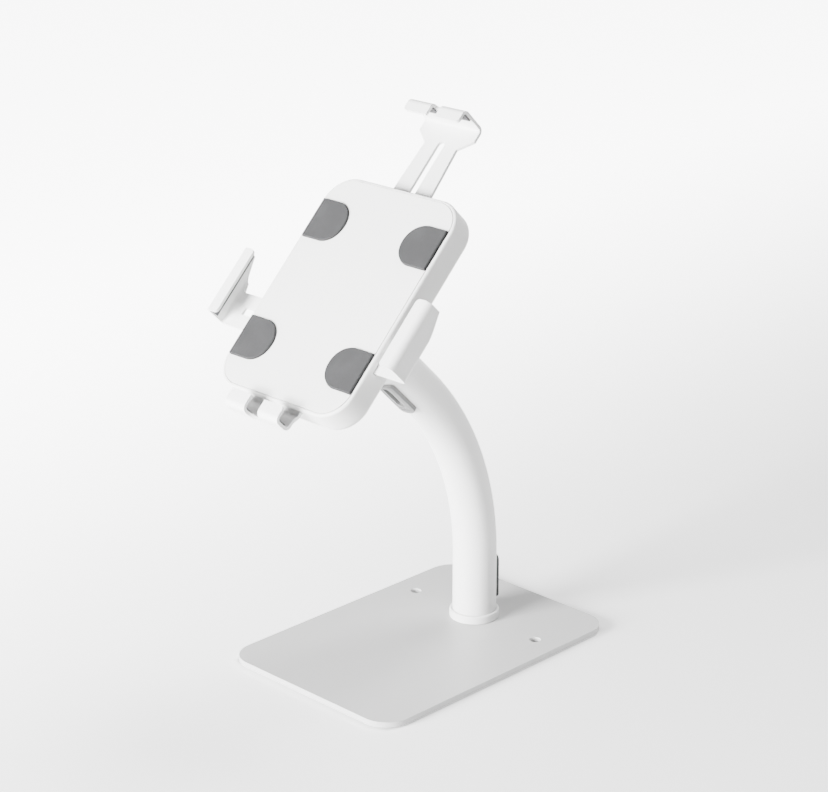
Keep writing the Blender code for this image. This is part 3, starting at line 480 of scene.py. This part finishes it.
CHROME = zinc("polished_lock_chrome", (0.78, 0.78, 0.79), 0.16)


# ------------------------------------------------------------- foot

PLATE_LOW, PLATE_HIGH = extent("base_plate")
COLLAR_LOW, COLLAR_HIGH = extent("tube_collar")
TUBE_Y = (COLLAR_LOW.y + COLLAR_HIGH.y) / 2
TUBE_R = extent("tube")[1].x


def make_foot():
    corner, below, above = 0.020, -0.01, 0.02
    hole_x, hole_r, hole_flare, sink_depth, sink_over = 0.060, 0.0033, 0.0014, 0.0012, 0.0008
    bolt_hole_r, bolt_tip_r, collar_round = 0.0027, 0.0005, 0.0012
    plate = block("foot_plate", PLATE_LOW, PLATE_HIGH)
    round_edges(plate, corner, 24, upright)
    for side in (-1, 1):
        where = (side * hole_x, TUBE_Y)
        carve(plate, drum("hole", hole_r, below, above, where, sides=48))
        carve(plate, drum("sink", hole_r, PLATE_HIGH.z - sink_depth, PLATE_HIGH.z + sink_over,
                          where, sides=48, top=hole_r + hole_flare))
    for number in (1, 2, 3):
        low, high = extent(f"base_bolt_{number}")
        where = middle_of(f"base_bolt_{number}")
        radius = (high.x - low.x) / 2
        carve(plate, drum("bolt_sink", radius + PLATE_LOW.z, 0, PLATE_LOW.z + radius, where,
                          sides=40, top=bolt_tip_r))
        carve(plate, drum("bolt_hole", bolt_hole_r, below, above, where, sides=32))
    soften(plate, 0.0004)
    settle(plate, "stand", ["base_plate"], FOOT_COAT)

    collar = drum("foot_collar", COLLAR_HIGH.x, COLLAR_LOW.z, COLLAR_HIGH.z, (0, TUBE_Y), sides=96)
    round_edges(collar, collar_round, 6, rim(COLLAR_HIGH.z))
    carve(collar, drum("bore", TUBE_R + GAP, 0, 0.05, (0, TUBE_Y), sides=96))
    soften(collar, 0.0002)
    settle(collar, "stand", ["tube_collar"], WHITE_COAT)

    for number in (1, 2, 3):
        refined(f"base_bolt_{number}", "stand", STEEL)
    refined("base_mat", "stand", MAT_RUBBER, 0.0002)
    refined("foot_plug", "stand", STEEL)


# ------------------------------------------------------------- tube

KNEE_Z = PLATE_HIGH.z + 0.049         # where the long bend begins
BEND_TURN = -LEAN                     # without a window, spin turns the other way
BEND_END = Vector((0, TUBE_Y - TUBE_BEND * (1 - cos(LEAN)), KNEE_Z + TUBE_BEND * sin(LEAN)))
TUBE_TOP = 0.044                      # straight length above the bend


def up_tube(distance):
    """A step along the straight length above the bend."""
    return Vector((0, -sin(LEAN), cos(LEAN))) * distance


def sweep_tube(name, radius, low_z, top_length):
    """A round skin along the tube's line: up, round the bend, and on."""
    bpy.ops.object.select_all(action="DESELECT")
    bpy.ops.mesh.primitive_circle_add(vertices=96, radius=radius, fill_type="NGON",
                                      location=(0, TUBE_Y, low_z))
    piece = named(name)
    alone(piece)
    bpy.ops.object.mode_set(mode="EDIT")
    bpy.ops.mesh.select_all(action="SELECT")
    bpy.ops.mesh.extrude_region_move(TRANSFORM_OT_translate={"value": (0, 0, KNEE_Z - low_z)})
    bpy.ops.mesh.spin(steps=56, angle=BEND_TURN, center=(0, TUBE_Y - TUBE_BEND, KNEE_Z),
                      axis=(1, 0, 0))
    bpy.ops.mesh.extrude_region_move(TRANSFORM_OT_translate={"value": up_tube(top_length)})
    bpy.ops.mesh.select_all(action="SELECT")
    bpy.ops.mesh.normals_make_consistent(inside=False)
    finish_edit()
    return piece


# Each grommet's length and place: its origin is on the tube's line and its Y points outwards.
LOWER_GROMMET = (0.0330, Matrix.Translation((0, TUBE_Y, PLATE_HIGH.z + 0.028)))
UPPER_GROMMET = (0.0355, Matrix.Translation(BEND_END + up_tube(0.0175))
                 @ Matrix.Rotation(pi, 4, "Z") @ Matrix.Rotation(-LEAN, 4, "X"))


def slab(name, width, length, corner, inner, outer, place=WORLD):
    """A block with rounded corners that stands on the +Y side, its length along Z."""
    half = width / 2
    piece = block(name, (-half, inner, -length / 2), (half, outer, length / 2))
    round_edges(piece, corner, 12, lambda middle, direction: abs(direction.y) > 0.99)
    if place is not WORLD:
        bake_place(piece, place)
    return piece


GROMMET_WIDTH, GROMMET_CORNER = 0.0185, 0.0035
FLANGE = 0.0022                       # what a grommet overlaps round its window
BEYOND = 0.030                        # clear of the tube and its grommets


def grommet_slab(name, length, margin, inner, outer, place=WORLD):
    """A slab with a grommet's outline, drawn in all round by a margin."""
    return slab(name, GROMMET_WIDTH - 2 * margin, length - 2 * margin, GROMMET_CORNER - margin,
                inner, outer, place)


def make_grommet(name, node, length, place, look):
    """A flange that hugs the tube, with a rounded rim, a sunk middle and a cable slot."""
    rim_width, proud, floor, neck_depth = 0.0025, 0.0027, 0.0010, 0.003
    hole_width, hole_length, hole_corner = 0.0075, 0.0245, 0.003
    grommet = grommet_slab(name, length, 0, TUBE_R / 2, BEYOND)
    carve(grommet, drum("outside", TUBE_R + proud, -BEYOND, BEYOND, sides=128), "INTERSECT")
    carve(grommet, drum("inside", TUBE_R + GAP, -BEYOND, BEYOND, sides=128))
    carve(grommet, grommet_slab("sunk", length, rim_width, TUBE_R + floor, BEYOND))
    soften(grommet, 0.0007, 5, 50)
    merge(grommet, grommet_slab("neck", length, FLANGE, TUBE_R - TUBE_WALL - neck_depth,
                                TUBE_R + floor / 2))
    carve(grommet, slab("cable_hole", hole_width, hole_length, hole_corner, 0, BEYOND))
    soften(grommet, 0.0003, 2, 60)
    settle(grommet, "stand", [node], look, place)


def make_tube():
    window_inner, screw_hole_r, over = 0.006, 0.0023, 0.003
    bottom = PLATE_HIGH.z + GAP
    tube = sweep_tube("tube_skin", TUBE_R, bottom, TUBE_TOP)
    carve(tube, sweep_tube("bore", TUBE_R - TUBE_WALL, bottom - 0.003, TUBE_TOP + 0.004))
    for length, place in (LOWER_GROMMET, UPPER_GROMMET):
        carve(tube, grommet_slab("window", length, FLANGE - GAP, window_inner, BEYOND, place))
    for node in ("plug_screw_1", "plug_screw_2"):
        low, high = extent(node, HINGE)
        cutter = drum("screw_hole", screw_hole_r, low.x - over, high.x + over,
                      ((low.y + high.y) / 2, (low.z + high.z) / 2), "X", 32)
        bake_place(cutter, HINGE)
        carve(tube, cutter)
    soften(tube, 0.0003, 2, 40)
    settle(tube, "stand", ["tube"], WHITE_COAT)
    # the lower grommet's darker tone is painted shade
    make_grommet("lower_cable_grommet", "lower_grommet", *LOWER_GROMMET, GROMMET_SHADED)
    make_grommet("upper_cable_grommet", "upper_grommet", *UPPER_GROMMET, GROMMET_GREY)
    refined("tube_end_plug", "stand", WHITE_COAT, 0.0006, 3)
    for number in (1, 2):
        refined(f"plug_screw_{number}", "stand", STEEL_ACROSS, 0.0002)


# ------------------------------------------------------------- hinge and swivel

def make_hinge():
    refined("tilt_fork", "fork", WHITE_COAT, 0.0007, 3)
    refined("hinge_bolt", "fork", STEEL_ACROSS, 0.0003, 3)
    refined("hinge_nut", "fork", STEEL_ACROSS, 0.0006, 3)
    for node in ("hinge_washer_1", "hinge_washer_2", "friction_ring"):
        refined(node, "fork", BLACK_NYLON, 0.0002)
    for node in ("swivel_washer", "swivel_bolt", "swivel_nut"):
        refined(node, "fork", STEEL)
    refined("stop_pin", "head", STEEL, 0.0002)


# ------------------------------------------------------------- housing

PADS = [f"grip_pad_{number}" for number in range(1, 5)]


def make_face():
    corner, sink_r, sink_flare, boss_hole_r = 0.0192, 0.0016, 0.0036, 0.0022
    low, high = extent("face_plate", HEAD)
    face = block("face_panel", low, high)
    round_edges(face, corner, 24, upright)
    for node in PADS:
        side, pad_low, pad_high = pad_place(node)
        pocket = pad_blank("pocket", side, pad_low, pad_high, GAP, pad_low.z - GAP, high.z + 0.002)
        carve(face, pocket)
    for number in range(1, 5):
        where = middle_of(f"face_screw_{number}", HEAD)
        screw_top = extent(f"face_screw_{number}", HEAD)[1].z
        carve(face, drum("screw_bore", SCREW_R, 0, high.z, where, sides=32))
        carve(face, drum("screw_sink", sink_r, screw_top - 0.0016, screw_top + 0.0004, where,
                         sides=32, top=sink_flare))
    for number in (1, 2):
        where = middle_of(f"bottom_screw_{number}", HEAD)
        screw_top = extent(f"bottom_screw_{number}", HEAD)[1].z
        carve(face, drum("boss_hole", boss_hole_r, 0, screw_top + GAP, where, sides=24))
    soften(face, 0.0009, 4)
    settle(face, "head", ["face_plate"], WHITE_SHELL, HEAD)


def pad_place(node):
    """The side of the housing a pad is on, and its corners."""
    low, high = extent(node, HEAD)
    return (1 if low.x > 0 else -1), low, high


def pad_blank(name, side, low, high, spare, z0, z1):
    """A D-shaped block: half round towards the middle, flat at the panel's edge.

    spare makes it a cutter: larger all round, and past the panel's edge.
    """
    edge = 0.003 if spare else 0.0
    flat = 0.0004                     # keeps the two round corners from meeting in one line
    x0 = low.x - (edge if side < 0 else spare)
    x1 = high.x + (edge if side > 0 else spare)
    piece = block(name, (x0, low.y - spare, z0), (x1, high.y + spare, z1))
    half = (high.y - low.y) / 2 + spare
    middle_x = (x0 + x1) / 2
    round_edges(piece, half - flat, 24, lambda middle, direction:
                upright(middle, direction) and (middle.x - middle_x) * side < 0)
    return piece


def make_pads():
    for node in PADS:
        side, low, high = pad_place(node)
        pad = pad_blank(node + "_moulding", side, low, high, 0.0, low.z, high.z)
        round_edges(pad, 0.0007, 4, rim(high.z))
        soften(pad, 0.0002, 2)
        settle(pad, "head", [node], PAD_RUBBER, HEAD)


def make_shell():
    low, high = extent("rear_shell", HEAD)
    wall, floor = 0.0022, 0.0025
    corner, back_edge, shoulder = 0.0215, 0.006, 0.0018
    post_r, post_top, pilot_floor, pilot_top = 0.0042, 0.0497, 0.008, 0.06
    shell = block("rear_housing", low, high)
    round_edges(shell, corner, 24, upright)
    round_edges(shell, back_edge, 10, rim(low.z))
    round_edges(shell, shoulder, 6, rim(high.z))
    hollow = block("hollow", (low.x + wall, low.y + wall, low.z + floor),
                   (high.x - wall, high.y - wall, high.z + 0.01))
    round_edges(hollow, corner - wall, 24, upright)
    carve(shell, hollow)
    for number in range(1, 5):
        where = middle_of(f"face_screw_{number}", HEAD)
        post = drum("post", post_r, low.z + floor - 0.001, post_top, where, sides=32)
        carve(post, drum("pilot", SCREW_R, low.z + floor + pilot_floor, pilot_top, where,
                         sides=24))
        merge(shell, post)
    for slot_low, slot_high in shell_slots():
        carve(shell, block("slot", slot_low, slot_high))
    for where, radius in rear_bores():
        carve(shell, drum("bore", radius, 0, low.z + floor + 0.001, where, sides=48))
    soften(shell, 0.0003, 2, 45)
    settle(shell, "head", ["rear_shell"], WHITE_SHELL, HEAD)


def shell_slots():
    """Openings for the four clamps, a little larger than their sheets."""
    slack, guide_cheek, arm_half = 0.0006, 0.0014, 0.0178
    inside_top, inside_bottom = 0.03, -0.04
    left, right = extent("left_clamp", HEAD), extent("right_clamp", HEAD)
    guide = extent("left_guide", HEAD)
    arm_y = (guide[0].y + guide_cheek + GAP, guide[1].y - guide_cheek - GAP)
    arm_z = left[0].z
    yield ((left[0].x, arm_y[0] - slack, arm_z - slack),
           (right[1].x, arm_y[1] + slack, arm_z + SHEET + slack))
    low, high = extent("top_clamp", HEAD)
    yield ((-arm_half, inside_top, low.z - slack), (arm_half, high.y, low.z + SHEET + slack))
    low, high = extent("bottom_clamp", HEAD)
    yield ((low.x - slack, low.y, low.z - GAP),
           (high.x + slack, inside_bottom, low.z + SHEET + GAP))


def rear_bores():
    """Round holes in the back wall: (centre, radius)."""
    for node, radius in (("swivel_bolt", 0.0043), ("stop_pin", 0.0023), ("lock_barrel", 0.0071),
                         ("left_clamp_bolt", 0.0027), ("right_clamp_bolt", 0.0027)):
        yield middle_of(node, HEAD), radius


# ------------------------------------------------------------- clamps

TABLET_Z = 0.0545                     # the tablet's back: above the arms, below the lips


def bent_sheet(name, start, end, sides, levels, lean_in, across):
    """A thin strip from start to end, turned up at its end and then back over.

    It runs along x, or along y where across is set. sides are its two edges,
    levels the heights of the strip and of its lip, and lean_in the step from
    the turned-up wall to the lip's edge.
    """
    centre = ((start + end) / 2, (sides[0] + sides[1]) / 2)
    size = (abs(end - start), sides[1] - sides[0])
    if across:
        size, centre = size[::-1], centre[::-1]
    axis = 1 if across else 0
    bpy.ops.object.select_all(action="DESELECT")
    bpy.ops.mesh.primitive_plane_add(size=1, location=(*centre, levels[0]))
    bpy.context.object.scale = (*size, 1)
    sheet = named(name)
    stretch(sheet, lambda m, d: near(m[axis], end), (0, 0, levels[1] - levels[0]))
    step = [0, 0, 0]
    step[axis] = lean_in
    stretch(sheet, lambda m, d: near(m.z, levels[1]), tuple(step))
    return sheet


def thicken(sheet, thickness, bend, segments=8):
    """Rounds the folds of an outer skin and gives it its thickness inwards."""
    turn_outwards(sheet)
    alone(sheet)
    bpy.ops.object.mode_set(mode="EDIT")
    bpy.ops.mesh.select_mode(type="EDGE")
    bpy.ops.mesh.select_all(action="DESELECT")
    bpy.ops.mesh.edges_select_sharp(sharpness=radians(60))
    bpy.ops.mesh.bevel(offset=bend, segments=segments, affect="EDGES")
    finish_edit()
    apply(sheet, "SOLIDIFY", thickness=thickness, offset=-1, use_even_offset=True)


STRIP = 0.0005                        # width of the strip a liner's wall is raised from


def make_liner(node, body, wall, toward, sides, levels, reach, across, corner):
    """Lines a clamp's wall and lip; the strip the wall is raised from is taken off."""
    liner = bent_sheet(node + "_pad", wall - toward * STRIP, wall, sides, levels, reach, across)
    delete_faces(liner, lambda centre, normal: abs(normal.z) > 0.9 and near(centre.z, levels[0]))
    lip, axis = wall + reach, (1 if across else 0)
    round_corners(liner, corner, 6, lambda spot: near(spot[axis], lip))
    thicken(liner, LINER, BEND - SHEET - GAP, 6)
    soften(liner, 0.00025, 2)
    settle(liner, body, [node], LINER_FOAM, HEAD)


def make_side_clamp(name, side, body):
    """A slotted arm with a wider wall, tapered beside the arm, and a lip."""
    node, liner_node = f"{name}_clamp", f"{name}_clamp_liner"
    low, high = extent(node, HEAD)
    liner_low, liner_high = extent(liner_node, HEAD)
    guide_low, guide_high = extent(f"{name}_guide", HEAD)
    guide_cheek, lip_x = 0.0017, side * 0.0772
    taper_rise, taper_x, over = 0.0097, 0.12, 0.004
    slot_inner, slot_outer, slot_half, slot_corner = 0.026, 0.0745, 0.0027, 0.0004
    arm_low, arm_high = guide_low.y + guide_cheek, guide_high.y - guide_cheek
    arm_end, outer = (low.x, high.x) if side > 0 else (high.x, low.x)
    clamp = bent_sheet(node + "_sheet", arm_end, outer, (low.y, high.y), (low.z, high.z),
                       lip_x - outer, False)
    round_corners(clamp, LIP_CORNER, 6, lambda spot: near(spot.x, lip_x) and near(spot.z, high.z))
    thicken(clamp, SHEET, BEND)
    taper = block("taper", (-taper_x, arm_high, 0), (taper_x, high.y + over, low.z + taper_rise))
    shift(taper, (0, 0, -taper_rise - 0.0001), lambda spot:
          near(spot.y, arm_high) and spot.z > 0.01)
    carve(clamp, taper)
    x0, x1 = sorted((0, outer - side * BEND))
    carve(clamp, block("arm_waste", (x0, arm_high, 0), (x1, high.y + over, liner_low.z)))
    arm_middle = (arm_low + arm_high) / 2
    x0, x1 = sorted((side * slot_inner, side * slot_outer))
    slot = block("slot", (x0, arm_middle - slot_half, 0), (x1, arm_middle + slot_half, liner_low.z))
    round_edges(slot, slot_corner, 4, upright)
    carve(clamp, slot)
    soften(clamp, 0.0003, 3)
    settle(clamp, body, [node], WHITE_COAT, HEAD)

    wall = outer - side * (SHEET + GAP)
    reach = lip_x + side * STRIP - wall
    make_liner(liner_node, body, wall, side, (liner_low.y, liner_high.y),
               (liner_low.z, liner_high.z), reach, across=False, corner=LIP_CORNER - 0.0004)


def make_hook_liners(prefix, body, toward):
    """The two liners of an end clamp; toward is +1 at the top and -1 at the bottom."""
    for number in (1, 2):
        node = f"{prefix}_liner_{number}"
        low, high = extent(node, HEAD)
        wall, lip = (high.y, low.y) if toward > 0 else (low.y, high.y)
        make_liner(node, body, wall, toward, (low.x, high.x), (low.z, high.z), lip - wall,
                   across=True, corner=0.0025)


def make_top_clamp():
    """An arm with a slot and a row of notches, a narrow neck and a wide split hook."""
    low, high = extent("top_clamp", HEAD)
    hook_gap, gap_level, gap_corner, lip_y, over = 0.0042, 0.0595, 0.0012, 0.1356, 0.01
    arm_half, neck_half, waste_half = 0.0172, 0.0147, 0.03
    taper_low, taper_high, flare = 0.0848, 0.1265, 0.1350
    slot_half, slot_low, slot_high = 0.003, 0.0365, 0.130
    notches, first_notch, notch_pitch, notch_half = 13, 0.0325, 0.004, 0.0013
    notch_outer, notch_inner, notch_low, notch_high = 0.0197, 0.0147, 0.035, 0.045
    clamp = bent_sheet("top_clamp_sheet", low.y, high.y, (low.x, high.x), (low.z, high.z),
                       lip_y - high.y, True)
    round_corners(clamp, LIP_CORNER, 6, lambda spot: near(spot.y, lip_y) and near(spot.z, high.z))
    thicken(clamp, SHEET, BEND)
    for side in (-1, 1):
        waste = block("waste", (side * neck_half, 0, 0), (side * waste_half, flare, TABLET_Z))
        turn_outwards(waste)
        for y in (taper_low, taper_high):
            choose_all(waste)
            bpy.ops.mesh.bisect(plane_co=(0, y, 0), plane_no=(0, 1, 0))
            finish_edit()
        shift(waste, (side * (arm_half - neck_half), 0, 0), lambda spot:
              near(abs(spot.x), neck_half) and spot.y < taper_low + NEAR)
        shift(waste, (side * (high.x - neck_half), 0, 0), lambda spot:
              near(abs(spot.x), neck_half) and near(spot.y, flare))
        carve(clamp, waste)
    slot = block("slot", (-slot_half, slot_low, 0), (slot_half, slot_high, TABLET_Z))
    round_edges(slot, slot_half - 0.00001, 10, upright)
    carve(clamp, slot)
    gap = block("hook_gap", (-hook_gap, 0, gap_level), (hook_gap, high.y + over, high.z + over))
    round_edges(gap, gap_corner, 5, lambda m, d: abs(d.y) > 0.99 and near(m.z, gap_level))
    carve(clamp, gap)
    for number in range(notches):
        y = first_notch + number * notch_pitch
        carve(clamp, block("notch", (-notch_outer, y - notch_half, notch_low),
                           (-notch_inner, y + notch_half, notch_high)))
    soften(clamp, 0.0003, 3)
    settle(clamp, "top_jaw", ["top_clamp"], WHITE_COAT, HEAD)
    make_hook_liners("top", "top_jaw", 1)


def make_bottom_clamp():
    """A hook with a notch for the tablet's plug, on a tail that steps down under the face."""
    low, high = extent("bottom_clamp", HEAD)
    lip_y, leg_z, tail_end = -0.0888, 0.0501, high.y
    step_low, step_high, tail_z, step_round = -0.0930, -0.0880, low.z, 0.0018
    notch_half, notch_end, screw_hole_r, over = 0.0065, 0.054, 0.0022, 0.01
    clamp = bent_sheet("bottom_clamp_sheet", step_low, low.y, (low.x, high.x), (leg_z, high.z),
                       lip_y - low.y, True)
    stretch(clamp, lambda m, d: near(m.y, step_low) and near(m.z, leg_z),
            (0, step_high - step_low, tail_z - leg_z))
    stretch(clamp, lambda m, d: near(m.y, step_high) and near(m.z, tail_z),
            (0, tail_end - step_high, 0))
    round_corners(clamp, LIP_CORNER, 6, lambda spot: near(spot.y, lip_y) and near(spot.z, high.z))
    round_edges(clamp, step_round, 5, lambda m, d: abs(d.x) > 0.99 and m.z < leg_z + NEAR
                and (near(m.y, step_low) or near(m.y, step_high)))
    thicken(clamp, SHEET, BEND)
    notch = block("notch", (-notch_half, low.y - over, notch_end),
                  (notch_half, lip_y + over, high.z + over))
    round_edges(notch, notch_half * 0.999, 16, lambda m, d:
                abs(d.y) > 0.99 and near(m.z, notch_end))
    carve(clamp, notch)
    for number in (1, 2):
        where = middle_of(f"bottom_screw_{number}", HEAD)
        carve(clamp, drum("screw_hole", screw_hole_r, 0.03, leg_z + 0.0004, where, sides=32))
    soften(clamp, 0.0003, 3)
    settle(clamp, "head", ["bottom_clamp"], WHITE_COAT, HEAD)
    make_hook_liners("bottom", "head", -1)


# ------------------------------------------------------------- small parts

def make_small_parts():
    for node in ("face_screw_1", "face_screw_2", "face_screw_3", "face_screw_4",
                 "bottom_screw_1", "bottom_screw_2", "left_clamp_bolt", "right_clamp_bolt",
                 "left_clamp_nut", "right_clamp_nut", "guide_stud", "lock_nut"):
        refined(node, "head", STEEL, 0.0002)
    for node in ("left_guide", "right_guide", "top_guide"):
        refined(node, "head", BLACK_NYLON, 0.0004)
    refined("lock_barrel", "head", CHROME, 0.0002, 3)
    refined("lock_plug", "key_plug", CHROME, 0.0002, 3)
    refined("lock_cam", "key_plug", STEEL, 0.0002)
    refined("latch", "latch", STEEL, 0.0002)


# ------------------------------------------------------------- studio

def make_studio():
    """A pale floor that glows away from the stand, its glow painted light that is brighter towards
    -x and cut out under the foot as painted shadow; a dim sky and two lamps.
    """
    bpy.ops.object.select_all(action="DESELECT")
    bpy.ops.mesh.primitive_plane_add(size=10, location=(0, 0, 0))
    floor = named("floor")
    finish = Finish("pale_floor", 0.7, **{"Emission Strength": 8.0})
    tone = finish.mix(finish.band(finish.noise(3, 2), 0.3, 0.7), 0.90, 0.92)
    spot = finish.node("ShaderNodeSeparateXYZ", None, {"Vector": finish.place}).outputs
    across = finish.band(finish.math("ABSOLUTE", spot["X"]), 0.074, 0.079)
    along = finish.band(finish.math("ABSOLUTE", spot["Y"]), 0.109, 0.114)
    # painted shadow: the floor's glow is cut out under the foot
    outside_foot = finish.math("MAXIMUM", across, along)      # the floor is dark under the foot
    # painted light: the floor's glow fades from -x towards +x
    glow = outside_foot * finish.band(spot["X"], -0.9, 0.1, 1.0, 0.07)
    finish.feed(finish.shader, {"Emission Color": finish.mix(glow, 0.0, 1.0)})
    floor.data.materials.append(finish.done(tone))
    floor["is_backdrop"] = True

    world = bpy.data.worlds.new("studio")
    bpy.context.scene.world = world
    world.use_nodes = True
    nodes, links = world.node_tree.nodes, world.node_tree.links
    split = nodes.new("ShaderNodeSeparateXYZ")
    links.new(nodes.new("ShaderNodeTexCoord").outputs["Generated"], split.inputs[0])
    fade = nodes.new("ShaderNodeMapRange")                    # bright at the horizon
    for key, value in {"From Min": 0.02, "From Max": 0.30, "To Min": 1.2, "To Max": 0.12}.items():
        fade.inputs[key].default_value = value
    links.new(split.outputs["Z"], fade.inputs["Value"])
    links.new(fade.outputs["Result"], nodes["Background"].inputs["Strength"])
    nodes["Background"].inputs["Color"].default_value = (1, 1, 1, 1)

    aim = Vector((0, -0.02, 0.2))
    lamps = (("key", (-0.40, -2.2, 0.62), 1.0, 390), ("top", (0.1, 0.9, 2.0), 0.8, 55))
    for name, spot, size, power in lamps:
        data = bpy.data.lights.new(name, "AREA")
        data.energy, data.size = power, size
        lamp = bpy.data.objects.new(name, data)
        bpy.context.scene.collection.objects.link(lamp)
        lamp.location = spot
        lamp.rotation_euler = (aim - Vector(spot)).to_track_quat("-Z", "Y").to_euler()


def make_camera():
    azimuth, elevation = radians(44.57), radians(19.96)
    lens, sensor, place = 104.43, 36, (1.0927, -1.1171, 0.7575)
    back = Vector((sin(azimuth) * cos(elevation), -cos(azimuth) * cos(elevation), sin(elevation)))
    data = bpy.data.cameras.new("camera")
    data.lens, data.sensor_width = lens, sensor
    camera = bpy.data.objects.new("camera", data)
    bpy.context.scene.collection.objects.link(camera)
    camera.location = place
    camera.rotation_euler = (-back).to_track_quat("-Z", "Y").to_euler()
    bpy.context.scene.camera = camera


make_studio()
make_camera()
make_foot()
make_tube()
make_hinge()
make_face()
make_pads()
make_shell()
make_side_clamp("left", -1, "left_jaw")
make_side_clamp("right", 1, "right_jaw")
make_top_clamp()
make_bottom_clamp()
make_small_parts()

boxes = {"cad": cad_box, "visual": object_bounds()}
{key: [list(corner) for corner in value] for key, value in boxes.items()}
